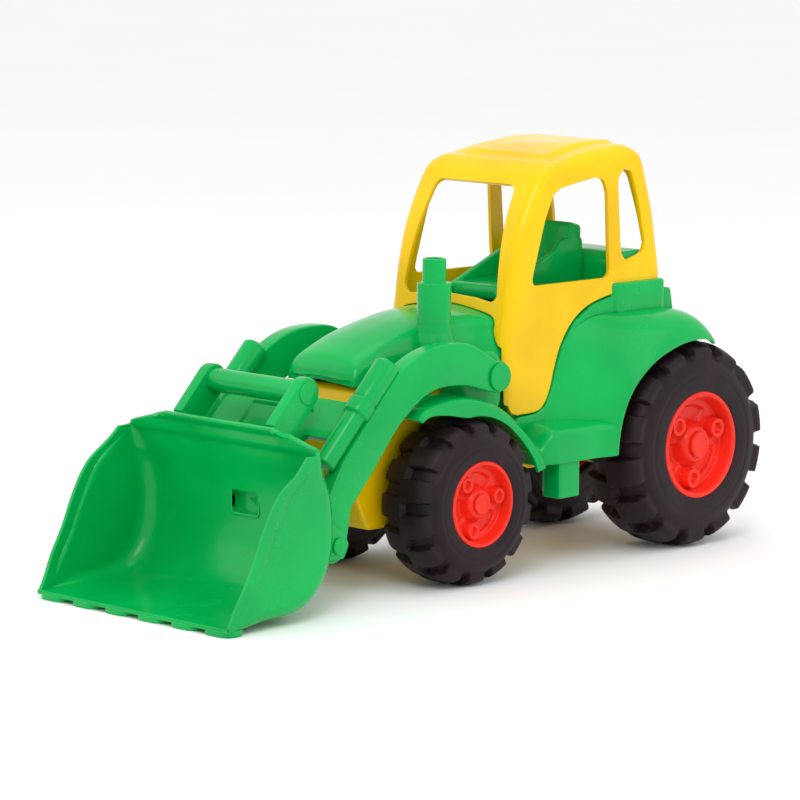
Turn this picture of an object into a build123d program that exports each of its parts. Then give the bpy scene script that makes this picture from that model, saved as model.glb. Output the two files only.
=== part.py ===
"""Toy front loader: yellow chassis and cab, green body, loader arms and bucket, four wheels.

Frame: millimetres, +Z up, the front faces -Y and +X is the vehicle's left.  The origin lies on
the floor under the middle of the whole model.  Each sub-part is its own solid in its own file.
"""

import os
from math import cos, radians, sin

from build123d import *

os.makedirs("parts", exist_ok=True)

# ---------------------------------------------------------------- driving dimensions
WHEELBASE = 215.0
FRONT_R = 55.0
REAR_R = 71.5
FRONT_Y = -26.0
REAR_Y = FRONT_Y + WHEELBASE
CHASSIS_HALF = 34.0
TYRE_GAP = 2.0
FRONT_RIM_FACE = 82.8
REAR_RIM_FACE = 84.9
FRONT_RIM_R = 28.5
REAR_RIM_R = 37.0
AXLE_R = 3.0
PIN_R = 3.0
RUNNING = 0.06
SKIN = 3.0

BUCKET_HALF = 91.5
BUCKET_LIP_Y = -260.5
TOOTH_COUNT = 6
TOOTH_PITCH = 31.0
TOOTH_W = 23.5
TOOTH_THICK = 2.6

ARM_IN = 58.0
ARM_OUT = 70.0
LIFT_Y, LIFT_Z = 1.3, 135.1
TILT_Y, TILT_Z = -150.0, 42.0
ARM_SLOPE = 46.0
SIDE_GAP = 0.4

CAB_HALF = 56.0
CAB_WALL = 3.5
BODY_HALF = CAB_HALF - CAB_WALL
FENDER_OUT_FRONT = 75.0
FENDER_OUT_REAR = 84.0
FRONT_ARCH_R = FRONT_R + 1.8
REAR_ARCH_R = REAR_R + 2.7
DECK_Z = 100.0
HOOD_FOOT_Z = 133.0
FLOOR_Z = 176.0


def write(builder, name):
    """Label a finished sub-part and write it as its own STEP file."""
    builder.part.label = name
    export_step(builder.part, f"parts/{name}.step")


def side_plane(x):
    """A plane facing +X at the given x: its local axes are Y and Z."""
    return Plane.YZ.offset(x)


def cross_plane(y):
    """A plane square to the length at the given y: its local axes are X and Z."""
    return Plane.XZ.offset(-y)


# ---------------------------------------------------------------- lower chassis
CHASSIS_OUTLINE = [
    (-90, HOOD_FOOT_Z), (-95, 118), (-96, 62), (-84, 38), (26, 38), (38, 62),
    (126, 62), (150, 56), (212, 56), (224, 68), (224, DECK_Z), (19, DECK_Z), (19, HOOD_FOOT_Z),
]
with BuildPart() as lower_chassis:
    with BuildSketch(Plane.YZ):
        with BuildLine():
            Polyline(*CHASSIS_OUTLINE, close=True)
        make_face()
    extrude(amount=CHASSIS_HALF, both=True)
    fillet(lower_chassis.edges().filter_by(Axis.X).group_by(Axis.Z)[0], 8)
    fillet(lower_chassis.edges().filter_by(Axis.Z).group_by(Axis.Y)[-1], 6)
    with BuildSketch(Plane.YZ):
        with BuildLine():
            Polyline(*CHASSIS_OUTLINE, close=True)
        make_face()
        offset(amount=-SKIN, kind=Kind.INTERSECTION)
    extrude(amount=CHASSIS_HALF - SKIN, both=True, mode=Mode.SUBTRACT)
    for y_from, y_to, top in ((-85, 15, HOOD_FOOT_Z), (23, 218, DECK_Z)):
        with BuildSketch(Plane.XY.offset(top - 2 * SKIN)):
            with Locations((0, (y_from + y_to) / 2)):
                Rectangle(2 * (CHASSIS_HALF - SKIN), y_to - y_from)
        extrude(amount=2 * SKIN, mode=Mode.SUBTRACT)
    for axle_y, axle_z, rib_height in ((FRONT_Y, FRONT_R, 32), (REAR_Y, REAR_R, 26)):
        with BuildSketch(side_plane(-CHASSIS_HALF + SKIN / 2)):
            with Locations((axle_y, axle_z)):
                Rectangle(20, rib_height)
        extrude(amount=8)
        with BuildSketch(side_plane(CHASSIS_HALF - SKIN / 2 - 8)):
            with Locations((axle_y, axle_z)):
                Rectangle(20, rib_height)
        extrude(amount=8)
        with BuildSketch(side_plane(-CHASSIS_HALF - 5)):
            with Locations((axle_y, axle_z)):
                Circle(AXLE_R)
        extrude(amount=2 * CHASSIS_HALF + 10, mode=Mode.SUBTRACT)
write(lower_chassis, "lower_chassis")


# ---------------------------------------------------------------- cab
# The cab's side panel ends on this line, and the green side frame starts just under it.
PANEL_EDGE = [(34, 105), (52, 105.5), (60, 110), (65.5, 120), (69.5, 133), (76, 149), (88, 164),
              (106, 174), (135, 180), (180, 186)]
CAB_FRONT = [(21, 119), (19, 147), (25, 172), (28, 195), (35, 221), (44, 242), (54, 260), (62, 268)]
CAB_ROOF = [(62, 268), (75, 275.5), (95, 279.5), (130, 281), (150, 279.5), (157, 274)]
CAB_REAR = [(157, 274), (162, 264), (168, 247), (174, 225), (180, 186)]
DOOR = [(50, 190), (53, 201), (63.6, 233), (72, 249), (80, 253.5), (94.8, 256), (114, 258.5), (120.4, 255.3),
        (124, 248), (126.5, 210), (128, 190)]
QUARTER = [(139, 208), (135.8, 235), (134, 258), (140, 263), (147.6, 260.7), (154.6, 241), (161.5, 208),
           (159, 204.5), (146.2, 201.4)]
with BuildPart() as cab:
    with BuildSketch(Plane.YZ):
        with BuildLine():
            Spline(*CAB_FRONT)
            Spline(*CAB_ROOF)
            Spline(*CAB_REAR)
            Spline(*reversed(PANEL_EDGE))
            Spline(PANEL_EDGE[0], (25, 109), CAB_FRONT[0])
        make_face()
    extrude(amount=CAB_HALF, both=True)
    with BuildSketch(Plane.YZ):
        with BuildLine():
            front_in = [(y + CAB_WALL, z - 0.3 * CAB_WALL) for y, z in CAB_FRONT]
            roof_in = [(front_in[-1][0], front_in[-1][1])]
            roof_in += [(y, z - CAB_WALL) for y, z in CAB_ROOF[1:-1]]
            rear_in = [(y - CAB_WALL, z - 0.5 * CAB_WALL) for y, z in CAB_REAR]
            Spline(*front_in)
            Spline(*roof_in, rear_in[0])
            Spline(*rear_in)
            Polyline(rear_in[-1], (rear_in[-1][0], 90), (front_in[0][0], 90), front_in[0])
        make_face()
    extrude(amount=CAB_HALF - CAB_WALL, both=True, mode=Mode.SUBTRACT)
    with BuildSketch(cross_plane(10)):
        with BuildLine():
            Polyline((43.9, 178.5), (36.3, 256), (-36.3, 256), (-43.9, 178.5))
            ThreePointArc((-43.9, 178.5), (0, 183), (43.9, 178.5))
        make_face()
        fillet(vertices(), 5)
    extrude(amount=-62, mode=Mode.SUBTRACT)
    with BuildSketch(cross_plane(10)):
        with BuildLine():
            Polyline((-46, 165), (-46, 158), (-CAB_HALF + CAB_WALL, 146), (-CAB_HALF + CAB_WALL, 95),
                     (CAB_HALF - CAB_WALL, 95), (CAB_HALF - CAB_WALL, 146), (46, 158), (46, 165))
            ThreePointArc((46, 165), (0, 178), (-46, 165))
        make_face()
    extrude(amount=-20, mode=Mode.SUBTRACT)
    with BuildSketch(cross_plane(140)):
        with BuildLine():
            Polyline((42, 200), (37, 262), (-37, 262), (-42, 200), close=True)
        make_face()
        fillet(vertices(), 6)
    extrude(amount=-60, mode=Mode.SUBTRACT)
    with BuildSketch(side_plane(-CAB_HALF - 4)):
        for opening in (DOOR, QUARTER):
            with BuildLine():
                Polyline(*opening, close=True)
            make_face()
    extrude(amount=2 * CAB_HALF + 8, mode=Mode.SUBTRACT)
write(cab, "cab")


# ---------------------------------------------------------------- upper body
def hood_section(y, foot_half, shoulder_half, shoulder_z, crown_z, lower_by=0.0, shrink=0.0):
    """One cross-section of the hood: straight flanks under a low crown."""
    with BuildSketch(cross_plane(y)) as section:
        with BuildLine():
            foot = HOOD_FOOT_Z - shrink
            left = (-(foot_half - shrink), foot)
            right = (foot_half - shrink, foot)
            left_top = (-(shoulder_half - shrink), shoulder_z - lower_by)
            right_top = (shoulder_half - shrink, shoulder_z - lower_by)
            Line(left, left_top)
            ThreePointArc(left_top, (0, crown_z - lower_by), right_top)
            Line(right_top, right)
            Line(right, left)
        make_face()
    return section.sketch


HOOD_STATIONS = [
    (-96, 31, 29, 140, 143), (-90, 33, 27, 148, 151.5), (-62, 34.2, 26, 159, 163.6),
    (-13, 37, 31, 167, 173.6), (34, 45, 44, 171, 177),
]
with BuildPart() as hood_outer:
    loft(sections=[hood_section(*station) for station in HOOD_STATIONS])
with BuildPart() as hood_inner:
    loft(sections=[hood_section(y + SKIN, *sizes, SKIN, SKIN) for y, *sizes in HOOD_STATIONS])

FRONT_FENDER_TOP = [(-78, 116), (-70, 121.5), (-50, 125.5), (-27, 125), (-4, 118.2), (12.5, 108), (25.5, 96),
                    (35.4, 82.5)]
FENDER_FOOT = (40.5, 73.0)
STEP_TOP_Z = 96.0
STEP_FOOT_Z = 73.0
STEP_LEG_FOOT_Z = 49.0


def front_fender(side):
    """Sheet over the front wheel with a deep lip along its outer edge."""
    x_in = side * (CHASSIS_HALF + SIDE_GAP)
    x_lip = side * (FENDER_OUT_FRONT - 4)
    start = (FRONT_Y - 12, FRONT_R + (FRONT_ARCH_R ** 2 - 144) ** 0.5)
    mid = (FRONT_Y + FRONT_ARCH_R * sin(radians(34)), FRONT_R + FRONT_ARCH_R * cos(radians(34)))
    end = (FRONT_Y + (FRONT_ARCH_R ** 2 - 18.0 ** 2) ** 0.5, FRONT_R + 18.0)
    with BuildPart() as fender:
        with BuildSketch(side_plane(x_lip)):
            with BuildLine():
                Spline(*FRONT_FENDER_TOP, FENDER_FOOT)
                Line(FENDER_FOOT, end)
                ThreePointArc(end, mid, start)
                Polyline(start, (-76, 113.5), FRONT_FENDER_TOP[0])
            make_face()
        extrude(amount=side * 4)
        with BuildSketch(side_plane(x_in)):
            with BuildLine():
                Spline(*FRONT_FENDER_TOP, FENDER_FOOT)
                Line(FENDER_FOOT, (FENDER_FOOT[0] - 4, FENDER_FOOT[1]))
                Spline((FENDER_FOOT[0] - 4, FENDER_FOOT[1]), (32, 81.5), (22.5, 94), (10.5, 105), (-5, 115),
                       (-28, 122), (-50, 122.6), (-69, 118.5), (-76, 113.5))
                Line((-76, 113.5), FRONT_FENDER_TOP[0])
            make_face()
        extrude(amount=x_lip - x_in)
    return fender.part


def step_box(side):
    """Foot step between the wheels: a sheet that slopes out and turns down, with a hollow leg."""
    with BuildPart() as step:
        with BuildSketch(cross_plane(30)):
            with BuildLine():
                Polyline(
                    (side * 40, 106), (side * 58, 104), (side * 79, STEP_TOP_Z), (side * 80, STEP_FOOT_Z),
                    (side * 77, STEP_FOOT_Z), (side * 76, STEP_TOP_Z - 2.5), (side * 57, 101),
                    (side * 40, 103), close=True,
                )
            make_face()
        extrude(amount=-86)
        with BuildSketch(Plane.XY.offset(STEP_LEG_FOOT_Z)):
            with Locations((side * 71, 61)):
                Rectangle(16, 21)
                Rectangle(10, 15, mode=Mode.SUBTRACT)
        extrude(amount=STEP_TOP_Z - STEP_LEG_FOOT_Z - 1)
    return step.part


REAR_FENDER_INNER = [(100, 73), (100, 100), (112, 140), (140, 160), (164, 166), (186, 166), (203, 161),
                     (216, 150), (219, 141)]
REAR_FENDER_OUTER = [(98, 73), (99, 90), (108, 116), (130, 135), (156, 146), (180, 149), (196, 148.5),
                     (208, 145), (210, 141)]


def fender_profile(x, points, inset=0.0):
    """Side outline of the rear fender at one x, closed along the bottom through the wheel."""
    shifted = [(y + inset * 0.4, z - inset) for y, z in points]
    with BuildSketch(side_plane(x)) as profile:
        with BuildLine():
            Polyline(*shifted, (points[-1][0], 73 - inset), (shifted[0][0], 73 - inset), close=True)
        make_face()
    return profile.sketch


def rear_fender(side):
    """Flared fender: a ruled skin from the cab side out to the lip, with the arch wall under it."""
    skin_ends = [
        fender_profile(side * (BODY_HALF - 1), REAR_FENDER_INNER),
        fender_profile(side * FENDER_OUT_REAR, REAR_FENDER_OUTER),
    ]
    room_ends = [
        fender_profile(side * (BODY_HALF - 2), REAR_FENDER_INNER, SKIN),
        fender_profile(side * (FENDER_OUT_REAR - 2.5), REAR_FENDER_OUTER, SKIN),
    ]
    with BuildPart() as skin:
        loft(sections=skin_ends, ruled=True)
    with BuildPart() as room:
        loft(sections=room_ends, ruled=True)
    with BuildPart() as arch:
        with BuildSketch(side_plane(side * (CHASSIS_HALF - 2))):
            with Locations((REAR_Y, REAR_R)):
                Circle(REAR_ARCH_R + SKIN)
        extrude(amount=side * (FENDER_OUT_REAR - CHASSIS_HALF + 2))
        add(skin.part, mode=Mode.INTERSECT)
    with BuildPart() as fender:
        add(skin.part)
        add(room.part, mode=Mode.SUBTRACT)
        add(arch.part)
    return fender.part


BODY_OUTLINE = [(32, DECK_Z), (32, 166), (60, FLOOR_Z), (132, FLOOR_Z), (132, 200), (138, 206),
                (164, 206), (170, 200), (174, 180), (190, 160), (206, 158), (219, 142), (222, DECK_Z)]
TUNNEL_Y = 108.0
with BuildPart() as body_room:
    with BuildSketch(Plane.YZ):
        with BuildLine():
            Polyline(*BODY_OUTLINE, close=True)
        make_face()
        offset(amount=-SKIN, kind=Kind.INTERSECTION)
        with Locations((127, DECK_Z)):
            Rectangle(184, 4 * SKIN)
    extrude(amount=BODY_HALF - SIDE_GAP - SKIN, both=True)
    for side in (-1, 1):
        with BuildSketch(Plane.XY.offset(DECK_Z - 10)):
            with Locations((side * (CHASSIS_HALF + 20), TUNNEL_Y + 100)):
                Rectangle(40, 200)
        extrude(amount=62, mode=Mode.SUBTRACT)
with BuildPart() as upper_body:
    with BuildSketch(Plane.YZ):
        with BuildLine():
            Polyline(*BODY_OUTLINE, close=True)
        make_face()
    extrude(amount=BODY_HALF - SIDE_GAP, both=True)
    add(body_room.part, mode=Mode.SUBTRACT)
    add(hood_outer.part)
    add(hood_inner.part, mode=Mode.SUBTRACT)
    for side in (-1, 1):
        with BuildSketch(side_plane(side * 40)):
            with Locations((LIFT_Y - 2, LIFT_Z - 6)):
                RectangleRounded(36, 42, 8)
        extrude(amount=side * (ARM_IN - SIDE_GAP - 40))
        with BuildSketch(side_plane(side * (BODY_HALF - 1))):
            with BuildLine():
                frame_edge = [(y + SIDE_GAP, z - SIDE_GAP) for y, z in PANEL_EDGE]
                Spline(*frame_edge)
                Polyline(frame_edge[-1], (180, 162), (190, 150), (190, 92), (34, 92), frame_edge[0])
            make_face()
        extrude(amount=side * 6)
        with BuildSketch(side_plane(side * (BODY_HALF + 4))):
            with BuildLine():
                Polyline((120, 164), (120, 176), (135, 179.6), (180, 185.6), (180, 164), close=True)
            make_face()
        extrude(amount=side * 4)
        add(front_fender(side))
        add(step_box(side))
        add(rear_fender(side))
    with BuildSketch(side_plane(0)):
        with BuildLine():
            Polyline((166, 164), (166, 185.2), (180, 185.6), (180, 164), close=True)
        make_face()
    extrude(amount=BODY_HALF + 8, both=True)
    for side in (-1, 1):
        with BuildSketch(side_plane(side * (CHASSIS_HALF + SIDE_GAP))):
            with Locations((REAR_Y, REAR_R)):
                Circle(REAR_ARCH_R)
            with Locations((FRONT_Y, FRONT_R)):
                Circle(FRONT_ARCH_R)
        extrude(amount=side * 60, mode=Mode.SUBTRACT)
    add(cab.part, mode=Mode.SUBTRACT)
write(upper_body, "upper_body")


# ---------------------------------------------------------------- exhaust stack
STACK_X, STACK_Y = 33.0, -24.0
STACK_STEPS = [(14.5, 152), (11.6, 168), (11.3, 170), (11.3, 195.5), (10.6, 196.5), (7.8, 197), (7.8, 211.5),
               (7.0, 212.5)]
with BuildPart() as exhaust_stack:
    with BuildSketch(Plane.XZ.offset(-STACK_Y)):
        with BuildLine():
            outline = [(STACK_X + r, z) for r, z in STACK_STEPS]
            Polyline((STACK_X, STACK_STEPS[0][1]), *outline, (STACK_X, STACK_STEPS[-1][1]), close=True)
        make_face()
    revolve(axis=Axis((STACK_X, STACK_Y, 0), (0, 0, 1)))
    with Locations((STACK_X, STACK_Y, STACK_STEPS[-1][1])):
        Hole(5.4, 12)
    add(hood_outer.part, mode=Mode.SUBTRACT)
    add(hood_inner.part, mode=Mode.SUBTRACT)
write(exhaust_stack, "exhaust_stack")


# ---------------------------------------------------------------- driver's seat
SEAT_HALF = 25.0
with BuildPart() as driver_seat:
    with BuildSketch(Plane.YZ.offset(-SEAT_HALF)):
        with BuildLine():
            Polyline((48, FLOOR_Z), (48, 184), (104, 207), (112, 224), (124, 226), (131, 222), (131, FLOOR_Z),
                     close=True)
        make_face()
    extrude(amount=2 * SEAT_HALF)
    with BuildSketch(Plane.YZ.offset(-SEAT_HALF + 5)):
        with BuildLine():
            Polyline((40, 190), (100, 187), (113, 232), (40, 232), close=True)
        make_face()
    extrude(amount=2 * SEAT_HALF - 10, mode=Mode.SUBTRACT)
    with BuildSketch(Plane.YZ.offset(-SEAT_HALF + SKIN)):
        with BuildLine():
            Polyline((51, FLOOR_Z), (51, 182), (110, 182), (120, 222), (128, 219), (128, FLOOR_Z), close=True)
        make_face()
    extrude(amount=2 * (SEAT_HALF - SKIN), mode=Mode.SUBTRACT)
write(driver_seat, "driver_seat")


# ---------------------------------------------------------------- loader frame
ARM_TOP = [(-10, 151), (-27, 159.5), (-50, 160.9), (-70, 157.5), (-88, 149), (-100.4, 137.7)]
ARM_BOSS_R = 10.8
TILT_EYE_R = 12.0
slope = radians(ARM_SLOPE)


def along(start, forward, out=0.0):
    """A point reached from start by going down the arm's slope and then square out in front of it."""
    y = start[0] - forward * cos(slope) - out * sin(slope)
    z = start[1] - forward * sin(slope) + out * cos(slope)
    return (y, z)


BARREL_TOP = (-94.0, 151.0)
with BuildPart() as loader_frame:
    with BuildSketch(side_plane(ARM_IN)):
        with BuildLine():
            boss_top = (LIFT_Y - 2, LIFT_Z + (ARM_BOSS_R ** 2 - 4) ** 0.5)
            boss_foot = (LIFT_Y - 2, LIFT_Z - (ARM_BOSS_R ** 2 - 4) ** 0.5)
            eye_front = (TILT_Y - 10, TILT_Z + (TILT_EYE_R ** 2 - 100) ** 0.5)
            eye_rear = (TILT_Y + TILT_EYE_R, TILT_Z)
            Spline(boss_top, *ARM_TOP)
            Polyline(ARM_TOP[-1], (-141, 94), (-158, 66), eye_front)
            ThreePointArc(eye_front, (TILT_Y, TILT_Z - TILT_EYE_R), eye_rear)
            Line(eye_rear, (-134, 64))
            Spline((-134, 64), (-118, 81), (-94, 109), (-81, 120), (-68, 128.5), (-53, 132.8),
                   (-30, 132.2), boss_foot)
            ThreePointArc(boss_foot, (LIFT_Y + ARM_BOSS_R, LIFT_Z), boss_top)
        make_face()
        with Locations((LIFT_Y, LIFT_Z), (TILT_Y, TILT_Z)):
            Circle(PIN_R + RUNNING, mode=Mode.SUBTRACT)
    extrude(amount=ARM_OUT - ARM_IN)
    barrel_axis = Vector(0, -cos(slope), -sin(slope))
    for start, length, radius in ((0, 34, 8.6), (34, 10, 9.2), (42, 38, 7.0)):
        y, z = along(BARREL_TOP, start)
        with BuildSketch(Plane(origin=(ARM_OUT - 8.6, y, z), z_dir=barrel_axis)):
            Circle(radius)
        extrude(amount=length)
    mirror(about=Plane.YZ)
    panel_top = (-121, 129)
    panel_length = 56
    with BuildSketch(Plane.YZ):
        with BuildLine():
            Polyline(panel_top, along(panel_top, panel_length), along(panel_top, panel_length, -5),
                     along(panel_top, 8, -9), along(panel_top, 0, -9), close=True)
        make_face()
    extrude(amount=ARM_IN + 1, both=True)
    window_y, window_z = along(panel_top, 38)
    for side in (-1, 1):
        with BuildSketch(Plane(origin=(side * 45, window_y, window_z), z_dir=(0, sin(slope), -cos(slope)),
                               x_dir=(1, 0, 0))):
            Rectangle(26, 18)
        extrude(amount=30, both=True, mode=Mode.SUBTRACT)
write(loader_frame, "loader_frame")


# ---------------------------------------------------------------- bucket
BUCKET_BACK = [(-179, 119), (-172, 97), (-166, 80), (-163, 62), (-163.5, 42), (-170, 25), (-182, 11.5),
               (-198, 5.6), (-224, 4), (-258, 3.4)]
BUCKET_FRONT = [(-258, 3.4), (-243, 25), (-230, 44), (-220, 65), (-207, 88), (-194, 104), (-187, 118.5)]
with BuildPart() as corner_roof:
    with BuildSketch(side_plane(-BUCKET_HALF)):
        with BuildLine():
            Spline(*BUCKET_BACK)
            Spline(*BUCKET_FRONT)
            Line(BUCKET_FRONT[-1], BUCKET_BACK[0])
        make_face()
    extrude(amount=2 * BUCKET_HALF)
    with BuildSketch(cross_plane(-150)):
        with BuildLine():
            Polyline((60, 119.4), (62, 119.4), (BUCKET_HALF + 1, 97), (BUCKET_HALF + 1, 93.2), (58, 118),
                     (58, 119.4), close=True)
        make_face()
        mirror(about=Plane.YZ)
    extrude(amount=60, both=True, mode=Mode.INTERSECT)
with BuildPart() as bucket:
    with BuildSketch(side_plane(-BUCKET_HALF)):
        with BuildLine():
            Spline(*BUCKET_BACK)
            Spline(*BUCKET_FRONT)
            Line(BUCKET_FRONT[-1], BUCKET_BACK[0])
        make_face()
    extrude(amount=2 * BUCKET_HALF)
    with BuildSketch(side_plane(-BUCKET_HALF + 3.2)):
        with BuildLine():
            inner_back = [(-183.5, 121), (-176, 97), (-169.5, 80), (-166.5, 62), (-167, 43), (-173, 27.5),
                          (-184, 15), (-199, 9), (-224, 7.2), (-262, 5.4)]
            Spline(*inner_back)
            Polyline(inner_back[-1], (-300, 5.4), (-300, 121), inner_back[0])
        make_face()
    extrude(amount=2 * BUCKET_HALF - 6.4, mode=Mode.SUBTRACT)
    with BuildSketch(cross_plane(-150)):
        with BuildLine():
            Polyline((62, 119.4), (BUCKET_HALF + 1, 97), (BUCKET_HALF + 1, 122), (62, 122), close=True)
        make_face()
        mirror(about=Plane.YZ)
    extrude(amount=60, both=True, mode=Mode.SUBTRACT)
    add(corner_roof.part)
    for side in (-1, 1):
        for x_ear in (ARM_IN - SIDE_GAP - 4, ARM_OUT + SIDE_GAP):
            start = x_ear if side > 0 else -x_ear
            with BuildSketch(side_plane(start)):
                with BuildLine():
                    Polyline((-165.5, 66), (-160, 60), (TILT_Y + 4, TILT_Z + 8.5), (TILT_Y + 9, TILT_Z),
                             (TILT_Y + 4, TILT_Z - 8.5), (-168, 35), close=True)
                make_face()
                with Locations((TILT_Y, TILT_Z)):
                    Circle(PIN_R, mode=Mode.SUBTRACT)
            extrude(amount=side * 4)
    tooth_y = BUCKET_LIP_Y + 9
    with BuildSketch(Plane.XY):
        with Locations((0, tooth_y)):
            with GridLocations(TOOTH_PITCH, 1, TOOTH_COUNT, 1):
                RectangleRounded(TOOTH_W, 18, 6)
    extrude(amount=TOOTH_THICK + 1.4)
    with BuildSketch(side_plane(-13)):
        with BuildLine():
            Polyline((-169, 72), (-159, 70), (-159, 56), (-169, 54), close=True)
        make_face()
    extrude(amount=26)
    with BuildSketch(side_plane(-11)):
        with BuildLine():
            Polyline((-180, 70), (-161, 68.4), (-161, 57.6), (-180, 56), close=True)
        make_face()
    extrude(amount=22, mode=Mode.SUBTRACT)
write(bucket, "bucket")


# ---------------------------------------------------------------- tilt handle
HANDLE_TOP = (-151.0, 136.6)
HANDLE_X = 43.5
HANDLE_THICK = 9.0
with BuildPart() as tilt_handle:
    for side in (-1, 1):
        start = side * (HANDLE_X - HANDLE_THICK / 2)
        with BuildSketch(side_plane(start)):
            with BuildLine():
                top_front, top_rear = along(HANDLE_TOP, 0, 10.5), along(HANDLE_TOP, 0, -10.5)
                foot_front, foot_rear = along(HANDLE_TOP, 44, 10.5), along(HANDLE_TOP, 44, -10.5)
                Polyline(top_front, foot_front, foot_rear, top_rear)
                ThreePointArc(top_rear, along(HANDLE_TOP, -10.5), top_front)
            make_face()
        extrude(amount=side * HANDLE_THICK)
    with BuildSketch(side_plane(-HANDLE_X)):
        with Locations((HANDLE_TOP[0], HANDLE_TOP[1])):
            Circle(7.8)
    extrude(amount=2 * HANDLE_X)
    with BuildSketch(side_plane(-BUCKET_HALF)):
        with BuildLine():
            Spline(*BUCKET_BACK[:6])
            Polyline(BUCKET_BACK[5], (-260, 25), (-260, 140), (BUCKET_BACK[0][0], 140), BUCKET_BACK[0])
        make_face()
    extrude(amount=2 * BUCKET_HALF, mode=Mode.SUBTRACT)
write(tilt_handle, "tilt_handle")


# ---------------------------------------------------------------- pins, axles and screws
for name, side in (("left", 1), ("right", -1)):
    with BuildPart() as lift_pin:
        with BuildSketch(side_plane(side * (ARM_IN - SIDE_GAP))):
            with Locations((LIFT_Y, LIFT_Z)):
                Circle(PIN_R)
        extrude(amount=side * (ARM_OUT - ARM_IN + 2 * SIDE_GAP))
        with BuildSketch(side_plane(side * (ARM_OUT + SIDE_GAP))):
            with Locations((LIFT_Y, LIFT_Z)):
                Circle(9.4)
        extrude(amount=side * 1.6)
    write(lift_pin, f"lift_pin_{name}")
    with BuildPart() as tilt_pin:
        with BuildSketch(side_plane(side * (ARM_IN - SIDE_GAP - 4))):
            with Locations((TILT_Y, TILT_Z)):
                Circle(PIN_R)
        extrude(amount=side * (ARM_OUT - ARM_IN + 2 * SIDE_GAP + 8))
        with BuildSketch(side_plane(side * (ARM_OUT + SIDE_GAP + 4))):
            with Locations((TILT_Y, TILT_Z)):
                Circle(5.5)
        extrude(amount=side * 2)
    write(tilt_pin, f"tilt_pin_{name}")

for name, y, z, face in (("front", FRONT_Y, FRONT_R, FRONT_RIM_FACE), ("rear", REAR_Y, REAR_R, REAR_RIM_FACE)):
    with BuildPart() as axle:
        with BuildSketch(side_plane(-(face - 9))):
            with Locations((y, z)):
                Circle(AXLE_R)
        extrude(amount=2 * (face - 9))
    write(axle, f"{name}_axle")

with BuildPart() as chassis_screws:
    for screw_y, screw_z in ((6, 38), (106, 62)):
        with BuildSketch(Plane.XY.offset(screw_z - 1.2)):
            with Locations((-20, screw_y), (20, screw_y)):
                Circle(3.4)
        extrude(amount=1.2)
write(chassis_screws, "chassis_screws")


# ---------------------------------------------------------------- wheels
def tyre(radius, rim_radius, x_in, x_out, lug_count):
    """Hollow tyre on the X axis: a U-shaped ring with blocks of tread standing on both shoulders."""
    depth = 0.075 * radius
    tread = radius - depth
    mid = (x_in + x_out) / 2
    half = (x_out - x_in) / 2
    side_r = rim_radius + 0.45 * (radius - rim_radius)
    with BuildPart() as ring:
        with BuildSketch(Plane.XY):
            with BuildLine():
                Spline((x_in + 0.6, rim_radius), (x_in, side_r), (mid - 0.72 * half, tread - 2.2), (mid, tread),
                       (mid + 0.72 * half, tread - 2.2), (x_out, side_r), (x_out - 0.6, rim_radius))
                Polyline((x_out - 0.6, rim_radius), (x_out - 4, rim_radius))
                Spline((x_out - 4, rim_radius), (x_out - 3.2, side_r), (mid + 0.66 * half, tread - 5.2),
                       (mid, tread - 3), (mid - 0.66 * half, tread - 5.2), (x_in + 3.2, side_r),
                       (x_in + 4, rim_radius))
                Line((x_in + 4, rim_radius), (x_in + 0.6, rim_radius))
            make_face()
        revolve(axis=Axis.X)
    with BuildPart() as lug:
        with BuildSketch(Plane.XY):
            with BuildLine():
                Polyline((mid + 1, tread - 1.5), (mid + 1, radius), (mid + 0.62 * half, radius))
                Spline((mid + 0.62 * half, radius), (mid + 0.86 * half, tread - 0.5),
                       (x_out - 0.6, side_r + 0.42 * (radius - side_r)))
                Polyline((x_out - 0.6, side_r + 0.42 * (radius - side_r)),
                         (x_out - 3, side_r + 0.3 * (radius - side_r)), (mid + 0.66 * half, tread - 4),
                         (mid + 1, tread - 1.5))
            make_face()
        revolve(axis=Axis.X, revolution_arc=12.0)
    other = lug.part.mirror(Plane.YZ.offset(mid))
    step = 360.0 / lug_count
    with BuildPart() as finished:
        add(ring.part)
        for index in range(lug_count):
            add(lug.part.rotate(Axis.X, index * step))
            add(other.rotate(Axis.X, (index + 0.5) * step))
    return finished.part


def rim(radius, x_in, x_out):
    """Dished rim: barrel, outer lip, sloping floor, three bosses with pips and a hub for the axle."""
    scale = radius / REAR_RIM_R
    floor = x_out - 11 * scale
    with BuildPart() as disc:
        with BuildSketch(Plane.XY):
            with BuildLine():
                Polyline(
                    (x_in + 4, radius - 2.4), (x_in + 4, radius - 0.1), (x_out - 3.4, radius - 0.1),
                    (x_out - 2.2, radius), (x_out, radius), (x_out, radius - 3.4 * scale), (floor + 1.5,
                     radius - 6.5 * scale), (floor, 16 * scale), (x_out - 3.5 * scale, 11 * scale),
                    (x_out - 3 * scale, AXLE_R + RUNNING), (x_in + 2, AXLE_R + RUNNING),
                    (x_in + 2, AXLE_R + 4), (floor - 3, AXLE_R + 4), (floor - 3, radius - 7 * scale),
                    (x_out - 6, radius - 2.4), close=True,
                )
            make_face()
        revolve(axis=Axis.X)
        with BuildSketch(side_plane(floor - 1)):
            with PolarLocations(24.5 * scale, 3, 90):
                Circle(6.6 * scale)
        extrude(amount=8 * scale)
        with BuildSketch(side_plane(floor + 7 * scale - 2.5)):
            with PolarLocations(24.5 * scale, 3, 90):
                Circle(3.4 * scale)
        extrude(amount=4, mode=Mode.SUBTRACT)
    return disc.part


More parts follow.
